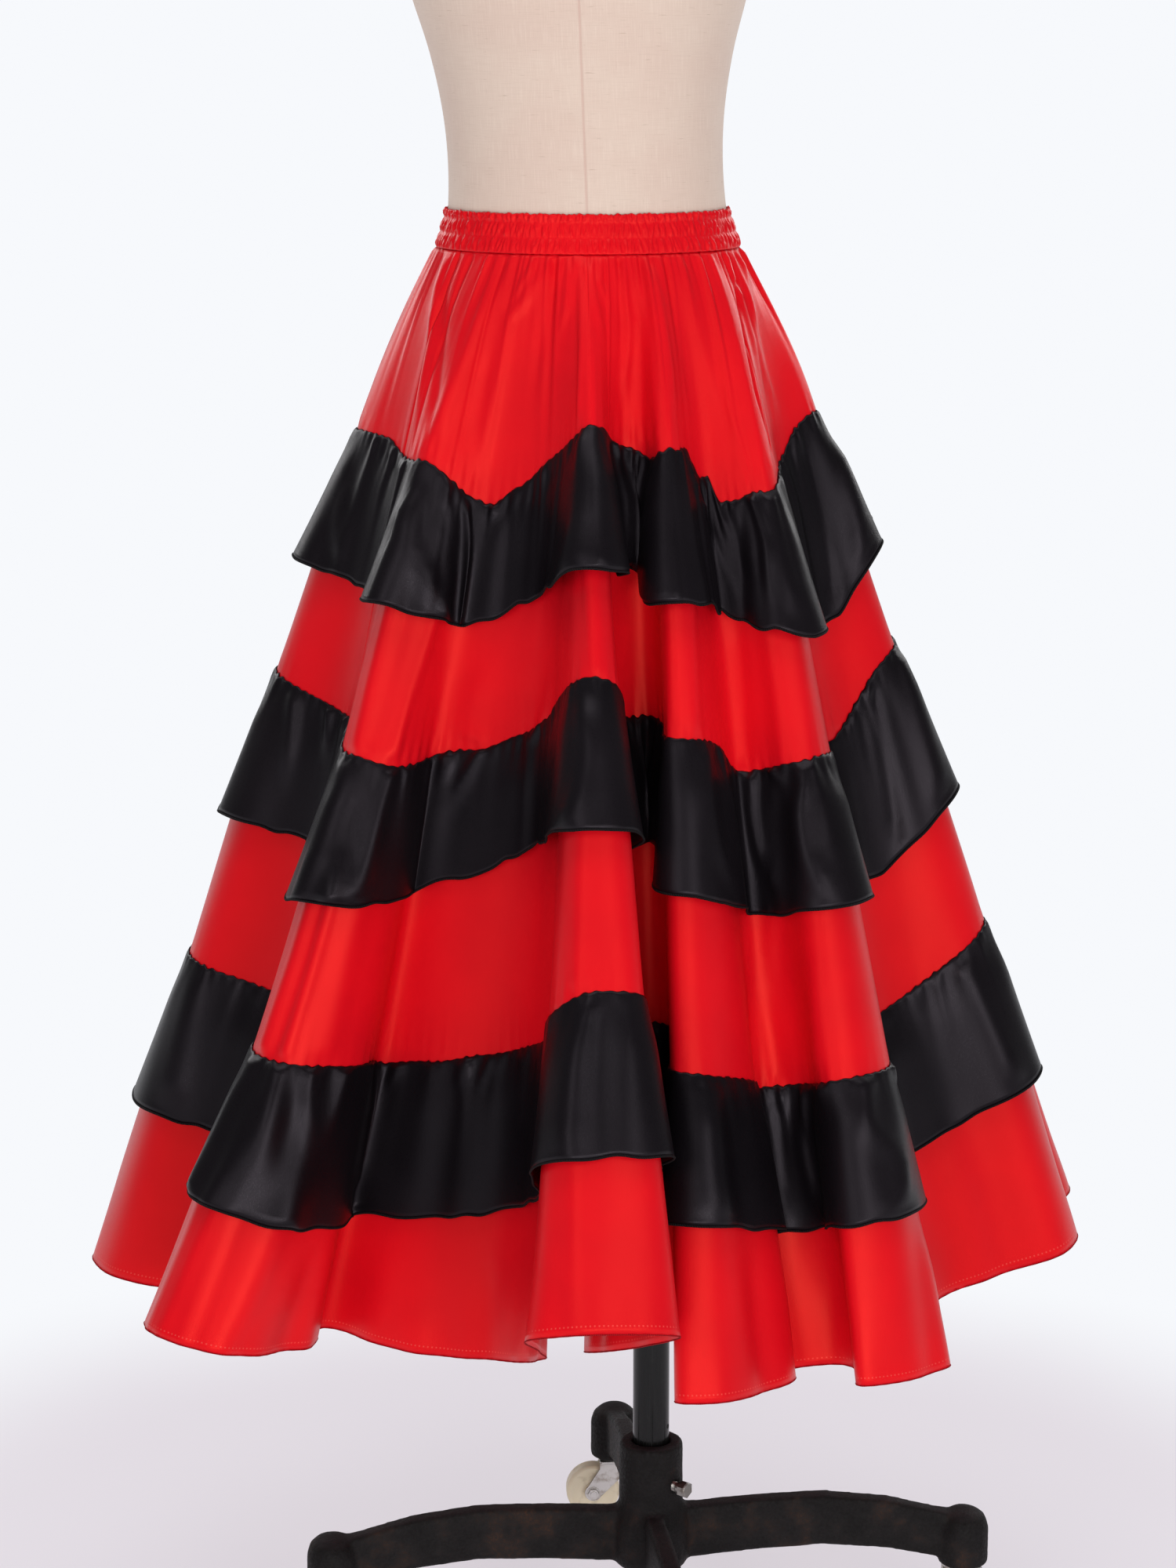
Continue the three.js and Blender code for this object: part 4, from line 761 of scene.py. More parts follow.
def column_rounds(total):
    """Places round the hem, closer together where it bends more."""
    before = np.roll(dense, BEND_REACH, axis=0)
    after = np.roll(dense, -BEND_REACH, axis=0)
    a, b = dense - before, after - dense
    cosine = (a * b).sum(1) / (np.linalg.norm(a, axis=1) * np.linalg.norm(b, axis=1))
    between = 0.5 * (np.linalg.norm(a, axis=1) + np.linalg.norm(b, axis=1))
    bend = np.arccos(np.clip(cosine, -1, 1)) / between
    steps = np.diff(arc) * (1 + BEND_WEIGHT * np.minimum(bend, BEND_LIMIT))
    weight = np.concatenate([[0], np.cumsum(steps)])
    return np.interp(np.arange(total) * weight[-1] / total, weight, arc)


# ------------------------------------------------------------------------ materials
class Graph:
    """A material's nodes, each added and linked in one call."""

    def __init__(self, name):
        self.material = bpy.data.materials.new(name)
        self.material.use_nodes = True
        self.nodes = self.material.node_tree.nodes
        self.links = self.material.node_tree.links
        self.shader = self.nodes["Principled BSDF"]

    def set(self, node, **inputs):
        """Sets or links a node's inputs; an underscore in a keyword stands for a space."""
        for key, value in inputs.items():
            socket = node.inputs[int(key[1:]) if key[0] == "_" else key.replace("_", " ")]
            if isinstance(value, bpy.types.NodeSocket):
                self.links.new(value, socket)
            elif isinstance(value, tuple) and socket.type == "RGBA" and len(value) == 3:
                socket.default_value = (*value, 1)
            else:
                socket.default_value = value
        return node

    def add(self, kind, out=0, settings=None, **inputs):
        """Adds a node and returns one of its outputs."""
        node = self.nodes.new("ShaderNode" + kind)
        for key, value in (settings or {}).items():
            setattr(node, key, value)
        self.set(node, **inputs)
        return node.outputs[out]

    def noise(self, vector, scale, detail=2.0, roughness=0.5):
        return self.add("TexNoise", Vector=vector, Scale=scale, Detail=detail, Roughness=roughness)

    def stretched(self, vector, scales, detail=2.0):
        """Noise drawn out along some of the axes."""
        return self.noise(self.add("Mapping", Vector=vector, Scale=scales), 1.0, detail)

    def math(self, operation, a, b=0.0):
        return self.add("Math", settings=dict(operation=operation), _0=a, _1=b)

    def ramp(self, factor, low, high, start=0.0, stop=1.0):
        """A value eased from low to high as factor goes from start to stop."""
        return self.add("MapRange", settings=dict(interpolation_type="SMOOTHSTEP"),
                        Value=factor, From_Min=start, From_Max=stop, To_Min=low, To_Max=high)

    def mix(self, factor, a, b):
        return self.add("Mix", out=2, settings=dict(data_type="RGBA"), _0=factor, _6=a, _7=b)

    def bump(self, height, distance, strength):
        return self.add("Bump", Height=height, Distance=distance, Strength=strength)


HEM_STITCHES_UP = 7               # from the hem to the row of needle holes above it
HEM_STITCHES_PER_METRE = 300


def satin(name, lit, deep, tint, roughness, gloss, lit_hem_holes=False):
    """Warp-faced satin: fine threads down the cloth, a soft sheen and a slight grain.

    The last argument adds the row of needle holes above the rolled hem, painted lighter than the satin as
    light showing through them.
    """
    g = Graph(name)
    uv = g.add("UVMap")
    place = g.add("TexCoord", out=3)
    threads = g.stretched(uv, (2600, 90, 1), detail=3)
    grain = g.noise(place, 1500, detail=3)
    cloud = g.noise(place, 9, detail=3)
    colour = g.mix(g.ramp(cloud, 0, 1, 0.3, 0.7), deep, lit)
    colour = g.mix(g.ramp(threads, 0, 0.35, 0.35, 0.75), colour, deep)
    # Painted light: needle holes above the hem, made lighter than the satin where light shows through them.
    if lit_hem_holes:
        across_hem, along_hem = (g.add("SeparateXYZ", out=k, Vector=uv) for k in (0, 1))
        at_row = g.math("ABSOLUTE", g.math("SUBTRACT", along_hem, (SKIRT_LENGTH - HEM_STITCHES_UP) * MM))
        on_row = g.ramp(at_row, 1, 0, 0.0003, 0.0009)
        beat = g.math("FRACT", g.math("MULTIPLY", across_hem, HEM_STITCHES_PER_METRE))
        beat = g.math("ABSOLUTE", g.math("SUBTRACT", beat, 0.5))
        on_hole = g.ramp(beat, 1, 0, 0.1, 0.24)
        colour = g.mix(g.math("MULTIPLY", on_row, on_hole), colour, (0.72, 0.05, 0.045))
    height = g.math("ADD", threads, g.math("MULTIPLY", grain, 0.9))
    g.set(g.shader, Base_Color=colour,
          Roughness=g.ramp(grain, roughness - 0.05, roughness + 0.09, 0.3, 0.7),
          Normal=g.bump(height, 0.00012, 0.55),
          Tangent=g.add("Tangent", settings=dict(direction_type="UV_MAP")),
          Anisotropic=0.45, IOR=1.5, Specular_IOR_Level=gloss, Specular_Tint=tint)
    return g.material


def thread_edge(name, colour, pitch):
    """A row of close stitches wound round an edge."""
    g = Graph(name)
    uv = g.add("UVMap")
    along, around = (g.add("SeparateXYZ", out=k, Vector=uv) for k in (0, 1))
    turns = g.math("ADD", g.math("MULTIPLY", along, 1 / (pitch * MM)), around)
    wound = g.math("SINE", g.math("MULTIPLY", turns, 2 * math.pi))
    fuzz = g.noise(g.add("TexCoord", out=3), 900, detail=3)
    # Painted shade: the grooves between the turns are made darker than the thread.
    shade = g.mix(g.ramp(wound, 0, 1, -1, 1), tuple(0.55 * c for c in colour), colour)
    height = g.math("ADD", wound, g.math("MULTIPLY", fuzz, 0.8))
    g.set(g.shader, Base_Color=shade, Roughness=0.8, Normal=g.bump(height, 0.0004, 0.8),
          Specular_IOR_Level=0.15)
    return g.material


def linen():
    """Beige linen with slubs both ways, and the stitched seam down the front."""
    g = Graph("linen_cover")
    uv = g.add("UVMap")
    down_threads = g.stretched(uv, (1500, 45, 1), detail=3)
    cross_threads = g.stretched(uv, (45, 1500, 1), detail=3)
    slub = g.stretched(uv, (70, 900, 1), detail=2)
    slub_up = g.stretched(uv, (1100, 60, 1), detail=2)
    cloud = g.noise(uv, 14, detail=3)
    colour = g.mix(g.ramp(cloud, 0, 1, 0.35, 0.65), (0.60, 0.455, 0.38), (0.62, 0.485, 0.405))
    colour = g.mix(g.ramp(down_threads, 0, 0.3, 0.45, 0.75), colour, (0.74, 0.62, 0.53))
    colour = g.mix(g.ramp(cross_threads, 0, 0.3, 0.45, 0.75), colour, (0.52, 0.38, 0.31))
    colour = g.mix(g.ramp(slub, 0, 0.55, 0.66, 0.78), colour, (0.36, 0.24, 0.17))
    colour = g.mix(g.ramp(slub_up, 0, 0.4, 0.68, 0.8), colour, (0.42, 0.30, 0.22))
    seam = g.math("ABSOLUTE", g.add("SeparateXYZ", out=0, Vector=uv))
    beside = g.ramp(seam, 1, 0, 0.0003, 0.0016)
    colour = g.mix(g.math("MULTIPLY", beside, 0.45), colour, (0.50, 0.30, 0.25))
    height = g.math("ADD", g.math("ADD", down_threads, cross_threads), g.math("MULTIPLY", beside, -1.5))
    g.set(g.shader, Base_Color=colour, Roughness=0.86, Normal=g.bump(height, 0.00025, 0.6),
          Sheen_Weight=0.12, Sheen_Roughness=0.5)
    return g.material


def gloss_black():
    g = Graph("pole_gloss_black")
    place = g.add("TexCoord", out=3)
    scratches = g.stretched(place, (900, 900, 25), detail=4)
    dust = g.noise(place, 160, detail=4)
    colour = g.mix(g.ramp(dust, 0, 0.5, 0.55, 0.8), (0.003, 0.003, 0.003), (0.010, 0.010, 0.009))
    g.set(g.shader, Base_Color=colour, Roughness=g.ramp(scratches, 0.16, 0.34, 0.35, 0.75),
          Normal=g.bump(scratches, 0.00005, 0.3), Specular_IOR_Level=0.28)
    return g.material


def cast_iron():
    """Rough black iron: brownish rust in the hollows, and the tops that face up painted paler, as light
    from above.
    """
    g = Graph("cast_iron_black")
    place = g.add("TexCoord", out=3)
    grain = g.noise(place, 420, detail=5, roughness=0.65)
    blotch = g.noise(place, 26, detail=4, roughness=0.6)
    speck = g.noise(place, 900, detail=2)
    facing = g.add("NewGeometry", out=1)
    up = g.ramp(g.add("SeparateXYZ", out=2, Vector=facing), 0, 1, 0.55, 0.95)
    colour = g.mix(g.ramp(blotch, 0, 1, 0.35, 0.7), (0.006, 0.005, 0.005), (0.012, 0.010, 0.010))
    rust = g.math("MULTIPLY", g.ramp(blotch, 0, 1, 0.52, 0.72), g.ramp(grain, 0.2, 1, 0.4, 0.7))
    colour = g.mix(g.math("MULTIPLY", rust, 0.55), colour, (0.075, 0.033, 0.017))
    # Painted light from above: surfaces that face up are made paler, broken up by the grain.
    painted_top_light = g.math("MULTIPLY", up, g.ramp(grain, 0.25, 0.8, 0.35, 0.65))
    colour = g.mix(painted_top_light, colour, (0.030, 0.024, 0.027))
    colour = g.mix(g.ramp(speck, 0, 0.4, 0.68, 0.8), colour, (0.07, 0.057, 0.05))
    height = g.math("ADD", grain, g.math("MULTIPLY", blotch, 0.8))
    g.set(g.shader, Base_Color=colour, Roughness=g.ramp(grain, 0.5, 0.78, 0.3, 0.7),
          Normal=g.bump(height, 0.0011, 0.75), Specular_IOR_Level=0.15)
    return g.material


def worn_steel(name, base, stain, roughness):
    g = Graph(name)
    place = g.add("TexCoord", out=3)
    brushed = g.stretched(place, (120, 900, 900), detail=3)
    blotch = g.noise(place, 120, detail=4)
    colour = g.mix(g.ramp(blotch, 0, 0.8, 0.5, 0.75), base, stain)
    g.set(g.shader, Base_Color=colour, Metallic=1.0,
          Roughness=g.ramp(blotch, roughness, roughness + 0.22, 0.35, 0.7),
          Normal=g.bump(brushed, 0.0001, 0.5))
    return g.material


def cream_nylon():
    g = Graph("wheel_cream_nylon")
    place = g.add("TexCoord", out=3)
    grime_and_shade = g.noise(place, 90, detail=4)
    scuff = g.noise(place, 500, detail=3)
    colour = g.mix(g.ramp(grime_and_shade, 0, 0.6, 0.52, 0.76), (0.72, 0.64, 0.47), (0.36, 0.29, 0.19))
    g.set(g.shader, Base_Color=colour, Roughness=g.ramp(scuff, 0.38, 0.6, 0.35, 0.7),
          Normal=g.bump(scuff, 0.0002, 0.4),
          Subsurface_Weight=0.12, Subsurface_Radius=(0.004, 0.003, 0.0015))
    return g.material


RED_LIT = (0.70, 0.004, 0.011)
RED_DEEP = (0.60, 0.003, 0.010)
BLACK_LIT = (0.0060, 0.0045, 0.0058)
BLACK_DEEP = (0.0030, 0.0022, 0.0030)
red_satin = satin("satin_red", RED_LIT, RED_DEEP, (1.0, 0.12, 0.07), 0.33, 0.7, lit_hem_holes=True)
black_satin = satin("satin_black", BLACK_LIT, BLACK_DEEP, (1.0, 0.88, 1.0), 0.32, 0.16)
red_thread = thread_edge("thread_red", (0.42, 0.003, 0.008), 1.6)
black_thread = thread_edge("thread_black", (0.006, 0.005, 0.006), 1.9)


def dress(piece, material, body, slot, *nodes):
    """Gives a piece its material and its body and hides the nodes it stands for. slot is not used."""
    piece.data.materials.clear()
    piece.data.materials.append(material)
    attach(piece, body)
    if nodes:
        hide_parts(*nodes)
    return piece


# ----------------------------------------------------------------------- the skirt
cloth = Cloth()
PANEL_COLUMNS = {"front": 390, "back": 410}
PANEL_SAMPLES = 20001             # for spacing a panel's columns
BEND_SAMPLES = 4000
UNDER_RUFFLE = 2.2                # how far the skirt lies back under a ruffle
COVER_BELOW_SEAM = (4, 9)         # it starts this far below the seam and takes this long
COVER_ABOVE_EDGE = (14, 12)       # and ends this far above the free edge, taking this long
SIDE_SEAM_IN = 0.7                # how far the panels turn in at the side seams
# From, to and about how far apart a panel has its rows.
ROW_STEPS = ((0, 60, 2.5), (60, 156, 8), (156, 172, 3.2), (172, 366, 14), (366, 388, 3.6),
             (388, 600, 14), (600, 624, 4), (624, 840, 14), (840, 880, 6))


def skirt_rows():
    """Distances from the band, closer together where the cloth is gathered."""
    rows = [0.0]
    for start, stop, step in ROW_STEPS:
        count = max(1, round((stop - start) / step))
        rows += [start + (stop - start) * (k + 1) / count for k in range(count)]
    return np.array(rows)


def covered(rounds, rows):
    """How far the skirt lies back where a ruffle hides it, so that it never shows through."""
    back = np.zeros((len(rows), len(rounds)))
    turns = waist_turn(rounds)
    for row in RUFFLES:
        sewn, free = ruffle_edges(row, turns)
        below_seam = smooth((rows[:, None] - sewn - COVER_BELOW_SEAM[0]) / COVER_BELOW_SEAM[1])
        above_edge = smooth((free - COVER_ABOVE_EDGE[0] - rows[:, None]) / COVER_ABOVE_EDGE[1])
        back += UNDER_RUFFLE * below_seam * above_edge
    return back


def skirt_panel(name, start, stop, count):
    """A panel from one place round the hem to another, with its columns as close as column_rounds()."""
    rows = skirt_rows()
    even = np.linspace(start, stop, PANEL_SAMPLES)
    loop = column_rounds(BEND_SAMPLES)
    density = np.interp(np.mod(even, HEM_ROUND), loop, 1 / np.gradient(loop))
    weight = np.concatenate([[0], np.cumsum((density[1:] + density[:-1]) / 2)])
    rounds = np.interp(np.linspace(0, weight[-1], count), weight, even)
    points, normals = cloth.sample(rounds[None, :], rows[:, None])
    points -= normals * covered(rounds, rows)[..., None]
    for edge in (0, -1):
        points[:, edge] -= normals[:, edge] * SIDE_SEAM_IN
    uv = np.stack(np.broadcast_arrays(rounds[None, :] * MM, rows[:, None] * MM), -1)
    piece = sheet_object(f"skirt_{name}_satin", points, uv)
    thicken(piece, CLOTH_THICK)
    return dress(piece, red_satin, "dressed_form", "red_satin", f"skirt_{name}")


right_seam, left_seam = (float(round_at(turn)) for turn in SIDE_SEAMS)
skirt_front = skirt_panel("front", right_seam, left_seam, PANEL_COLUMNS["front"])
skirt_back = skirt_panel("back", left_seam, right_seam + HEM_ROUND, PANEL_COLUMNS["back"])


def rolled_hem(name, start, stop, count):
    rounds = np.linspace(start, stop, count)
    line = cloth.sample(rounds, np.full(count, SKIRT_LENGTH - 0.4))[0]
    wobble = 1 + 0.16 * uneven_waves(rounds / HEM_ROUND, 420, 31)
    piece = tube_object(f"hem_{name}_rolled", line, HEM_ROLL * wobble, closed=False)
    return dress(piece, red_thread, "dressed_form", "red_satin")


hem_front = rolled_hem("front", right_seam, left_seam, 900)
hem_back = rolled_hem("back", left_seam, right_seam + HEM_ROUND, 1300)


# ---------------------------------------------------------------------- the ruffles
RUFFLE_COLUMNS = {"upper": 1400, "middle": 1500, "lower": 1600}
# Shares of the depth at which a ruffle has its rows, closer together under the seam.
RUFFLE_SHARES = np.array([0, 0.008, 0.022, 0.045, 0.075, 0.11, 0.155, 0.21, 0.28, 0.36, 0.45, 0.55, 0.65,
                          0.75, 0.84, 0.92, 0.965, 1.0])


def ruffle_stand(row, x, opened, fine, medium, broad):
    """How far a ruffle stands off the skirt at x millimetres below its seam, without its creases.

    fine, medium and broad are the heights of its gathers, from the smallest to the widest.
    """
    drawn_up = 1.3 - 0.75 * opened
    stand = SEAM_GAP + CLOTH_THICK + 0.6 * (1 - np.exp(-x / 0.9))
    stand = stand + lerp(row["tucked"], row["flare"], opened**2)[None, :] * RUFFLE_SHARES[:, None] ** 1.15
    stand = stand + 1.9 * fine * medium * smooth(x / 1.5) * np.exp(-x / (5 + 12 * medium**3))
    stand = stand + 3.2 * medium**3 * drawn_up * smooth(x / 9) * np.exp(-x / 34)
    return stand + 2.6 * (1 + broad) * smooth(x / 45)


def ruffle_creases(row, rounds, spread):
    hidden = hidden_creases(HIDDEN_RUFFLE_CREASES, ((1, 60), (1, 110), (10, 123)), row["seam"] + 5)
    depths = RUFFLE_SHARES * row["depth"]
    return sum(crease_rise(one, depths, rounds, spread) for one in RUFFLE_CREASES[row["name"]] + hidden)


def ruffle_shape(row):
    """Places round the hem and points of a gathered strip, sewn on at its top edge and free below."""
    count = RUFFLE_COLUMNS[row["name"]]
    rounds = column_rounds(count)
    sewn, free = ruffle_edges(row, waist_turn(rounds))
    lengths = np.interp(rounds, np.append(cloth.rounds, HEM_ROUND), cloth.lengths_at(row["seam"]))
    total = lengths.max()
    share = lengths / total * (1 - 1 / count)

    def waves(spacing, seed):
        """Uneven waves along the seam, about this many millimetres apart."""
        return uneven_waves(share, round(total / spacing), row["seam"] + seed)

    scallop = waves(9, 2)
    medium = 0.5 + 0.5 * waves(27, 3)
    x = RUFFLE_SHARES[:, None] * (free - sewn)[None, :]
    downs = sewn + x + 1.3 * (scallop * (0.2 + medium))[None, :] * np.exp(-x / 6)
    downs = downs + 1.3 * waves(38, 6) * RUFFLE_SHARES[:, None] ** 3
    stand = ruffle_stand(row, x, carried(rounds, "open"), 0.5 + 0.5 * scallop, medium, waves(85, 4))
    spread = np.gradient(lengths) / np.gradient(rounds)
    stand = np.maximum(stand + ruffle_creases(row, rounds, spread), SEAM_GAP + CLOTH_THICK)
    points, normals = cloth.sample(np.broadcast_to(rounds, downs.shape), downs)
    return rounds, points + normals * stand[..., None]


def ruffle(row):
    rounds, points = ruffle_shape(row)
    along = np.append(rounds, HEM_ROUND)[None, :]
    uv = np.stack(np.broadcast_arrays(along * MM, RUFFLE_SHARES[:, None] * row["depth"] * MM), -1)
    piece = sheet_object(f"ruffle_{row['name']}_satin", points, uv, ring=True)
    thicken(piece, CLOTH_THICK)
    dress(piece, black_satin, "dressed_form", "black_satin", f"ruffle_{row['name']}")
    edge = tube_object(f"ruffle_{row['name']}_overlock", points[-1], OVERLOCK)
    dress(edge, black_thread, "dressed_form", "black_satin")
    return piece, edge


ruffle_pieces = {row["name"]: ruffle(row) for row in RUFFLES}


# ------------------------------------------------------------------- the dress form
def between_sections(z):
    """The form's section at a height, on a smooth curve through the measured ones."""
    heights = np.array([s["z"] for s in FORM_SECTIONS], float)
    made = {}
    for key in ("half", "front", "back", "square"):
        values = np.array([s[key] for s in FORM_SECTIONS], float)
        slopes = np.gradient(values, heights)
        i = int(np.clip(np.searchsorted(heights, z, side="right") - 1, 0, len(heights) - 2))
        span = heights[i + 1] - heights[i]
        t = (z - heights[i]) / span
        made[key] = ((2 * t**3 - 3 * t**2 + 1) * values[i] + (t**3 - 2 * t**2 + t) * span * slopes[i]
                     + (3 * t**2 - 2 * t**3) * values[i + 1] + (t**3 - t**2) * span * slopes[i + 1])
    return made


def form_outline(z, sides, inset=0.0):
    section = between_sections(z)
    angle = 2 * np.pi * np.arange(sides) / sides
    x, y = np.sin(angle), -np.cos(angle)
    depth = np.where(y < 0, section["front"], section["back"]) - inset
    px = np.sign(x) * np.abs(x) ** (2 / section["square"]) * (section["half"] - inset)
    py = np.sign(y) * np.abs(y) ** (2 / section["square"]) * depth
    return np.column_stack([px + LEAN * (z - LEAN_FROM_Z), py, np.full(sides, float(z))])


def form_radius(degrees, z):
    """How far the form's surface lies from the skirt's axis in a direction."""
    outline = form_outline(z, 720)
    turns = np.degrees(np.arctan2(outline[:, 0], -outline[:, 1]))
    order = np.argsort(turns)
    reach = np.hypot(*outline[order, :2].T)
    return np.interp(np.mod(degrees + 180, 360) - 180, turns[order], reach, period=360)


FORM_SIDES = 120
FORM_INSET = 0.25                 # the smooth cover stays inside the faceted solid's corners
LINEN_ON_LIDS = (0.3, 2.0)        # where on the linen the ends' texture lies, clear of the front seam


def form_torso():
    bottom, top = FORM_SECTIONS[0]["z"], FORM_SECTIONS[-1]["z"]
    edge_rows = [bottom, bottom + 1.5, bottom + 4, bottom + 8]
    heights = np.array(edge_rows + list(np.linspace(bottom + 12, top - 6, 110)) + [top - 3, top - 1, top])
    grid = np.stack([form_outline(z, FORM_SIDES, FORM_INSET) for z in heights])
    steps = np.linalg.norm(np.roll(grid, -1, axis=1) - grid, axis=2)
    travelled = np.concatenate([np.zeros((len(heights), 1)), np.cumsum(steps, axis=1)], axis=1)
    travelled = np.where(travelled > travelled[:, -1:] / 2, travelled - travelled[:, -1:], travelled)
    uv = np.stack([travelled, np.broadcast_to(heights[:, None], travelled.shape)], -1) * MM
    uv[:, -1, 0] = 0
    rows = len(heights)
    upwards = [quad_corners(rows - 1, FORM_SIDES)[k] for k in (0, 3, 2, 1)]
    faces = quad_faces(upwards, rows, FORM_SIDES)
    faces += [[(rows - 1) * FORM_SIDES + k for k in range(FORM_SIDES)], list(range(FORM_SIDES - 1, -1, -1))]
    uvs = corner_uvs(upwards, lambda r, c: uv[r, c])
    for lid in (grid[-1], grid[0, ::-1]):
        uvs += (lid[:, :2] * MM + LINEN_ON_LIDS).tolist()
    piece = mesh_object("form_torso_linen", grid.reshape(-1, 3), faces, uvs)
    return dress(piece, linen(), "dressed_form", "linen", "form_torso")


form_torso()


# --------------------------------------------------------------------- the waistband
BAND_COLUMNS = 800
BAND_ROWS = 28
BAND_CHANNELS = (0.0, 0.2, 0.6, 1.0)     # shirring rows, as shares of the height
BAND_THICK = 1.0
BAND_RIBS = 118                   # puckers round the band
BAND_UV_ROUND = 0.76              # metres of satin round the band in its texture
FORM_HELD_Z = 1236                # above this the band keeps the form's outline of this height


def band_puckers(share, t):
    """Three elastic channels: each bulges between its stitched rows and is full of small puckers."""
    rise = 0
    for k, (low, high) in enumerate(zip(BAND_CHANNELS, BAND_CHANNELS[1:])):
        within = np.clip((t - low) / (high - low), 0, 1)
        bulge = np.sin(np.pi * within) ** 0.6
        slant = 0.006 * (within - 0.5) * uneven_waves(share, 31, 60 + k)
        ribs = uneven_waves(share + slant, BAND_RIBS, 50 + k)
        ribs = ribs + 0.6 * uneven_waves(share - 1.4 * slant, 83, 54 + k)
        cross = np.sin(np.pi * (1.6 * within + 3 * uneven_waves(share, 64, 63 + k)))
        small = uneven_waves(share + 1.5 * slant + 0.004 * within, 210, 57 + k)
        rise += bulge * (0.9 + 0.85 * ribs + 0.5 * cross + 0.5 * small) * ((t >= low) & (t < high))
    return rise


def waistband():
    t = np.linspace(0, 1, BAND_ROWS)[:, None]
    degrees = 360 * np.arange(BAND_COLUMNS)[None, :] / BAND_COLUMNS
    share = degrees / 360
    z = lerp(BAND_TOP_Z, BAND_BOTTOM_Z + BAND_RAISE, t)
    held = np.stack([form_radius(degrees[0], min(z0, FORM_HELD_Z)) for z0 in z[:, 0]])
    loose = np.linalg.norm(waist_points(degrees, BAND_BOTTOM_HALF), axis=-1) - BAND_WALL / 2
    inside = lerp(held + SEAM_GAP + 0.05, loose, t**BAND_SPREAD)
    frill = np.exp(-t / 0.07)
    rise = band_puckers(share, t) + frill * (0.5 + 0.7 * uneven_waves(share, BAND_RIBS, 50))
    radius = inside + BAND_THICK + np.maximum(rise, 0.1)
    wavy = 0.5 * uneven_waves(share, BAND_RIBS, 71) + 0.5 * uneven_waves(share, 47, 72)
    height = z + frill * (0.6 + wavy)
    points = np.concatenate([towards(degrees) * radius[..., None], height[..., None]], -1)
    along = np.append(share[0], 1.0)[None, :] * BAND_UV_ROUND
    uv = np.stack(np.broadcast_arrays(along, t * (BAND_TOP_Z - BAND_BOTTOM_Z) * MM), -1)
    piece = sheet_object("waistband_shirred", points, uv, ring=True)
    thicken(piece, BAND_THICK, offset=-1)
    return dress(piece, red_satin, "dressed_form", "red_satin", "waistband")


band = waistband()


# ------------------------------------------------------------------------ hard parts
ROUND_STEPS = 5                   # steps of a turned body's rounded edge
UPRIGHT = Matrix.Rotation(math.pi / 2, 4, "X")


class Solid:
    """Points and faces of a small hard part, gathered from lathed and extruded pieces."""

    def __init__(self):
        self.points = []
        self.faces = []

    def add(self, points, faces):
        start = len(self.points)
        self.points += [tuple(p) for p in points]
        self.faces += [[start + i for i in face] for face in faces]
        return self

    def lathe(self, profile, sides=48, place=Matrix.Identity(4)):
        """Turns [radius, z] pairs, bottom to top, about Z; ends off the axis are closed with a disc."""
        points = []
        for radius, z in profile:
            for k in range(sides):
                angle = 2 * math.pi * k / sides
                points.append(place @ Vector((radius * math.cos(angle), radius * math.sin(angle), z)))
        faces = []
        for i in range(len(profile) - 1):
            for k in range(sides):
                j = (k + 1) % sides
                faces.append([i * sides + k, i * sides + j, (i + 1) * sides + j, (i + 1) * sides + k])
        faces.append(list(range(sides - 1, -1, -1)))
        faces.append([(len(profile) - 1) * sides + k for k in range(sides)])
        return self.add(points, faces)

    def extrude(self, outline, low, high, place=Matrix.Identity(4)):
        """An outline of [x, y] pairs, anticlockwise, between two heights."""
        count = len(outline)
        points = [place @ Vector((x, y, z)) for z in (low, high) for x, y in outline]
        faces = [[k, (k + 1) % count, count + (k + 1) % count, count + k] for k in range(count)]
        faces += [list(range(count - 1, -1, -1)), list(range(count, 2 * count))]
        return self.add(points, faces)

    def object(self, name, place=Matrix.Identity(4), bevel=0.0):
        piece = mesh_object(name, [tuple(place @ Vector(p)) for p in self.points], self.faces)
        if bevel:
            edge = piece.modifiers.new("bevel", "BEVEL")
            edge.width = bevel * MM
            edge.segments = 2
            edge.limit_method = "ANGLE"
            edge.angle_limit = math.radians(35)
        piece.modifiers.new("normals", "WEIGHTED_NORMAL").keep_sharp = True
        return piece


def rounded_profile(radius, low, high, round_low, round_high):
    """Profile of a turned body with rounded edges."""
    angles = [math.pi / 2 * k / ROUND_STEPS for k in range(ROUND_STEPS + 1)]
    bottom = [(radius - round_low * (1 - math.sin(a)), low + round_low * (1 - math.cos(a))) for a in angles]
    top = [(radius - round_high * (1 - math.cos(a)), high - round_high * (1 - math.sin(a))) for a in angles]
    return bottom + top


def hexagon(radius):
    return [(radius * math.cos(math.pi * k / 3), radius * math.sin(math.pi * k / 3)) for k in range(6)]


def stand_pole():
    top = FORM_SECTIONS[0]["z"] + SOCKET_DEPTH - 0.4
    pole = Solid().lathe(rounded_profile(POLE_R, POLE_BOTTOM_Z, top, 1, 1), 64)
    piece = pole.object("pole_tube", Matrix.Translation((POLE_X, POLE_Y, 0)))
    return dress(piece, gloss_black(), "dressed_form", "black_pole", "stand_pole")


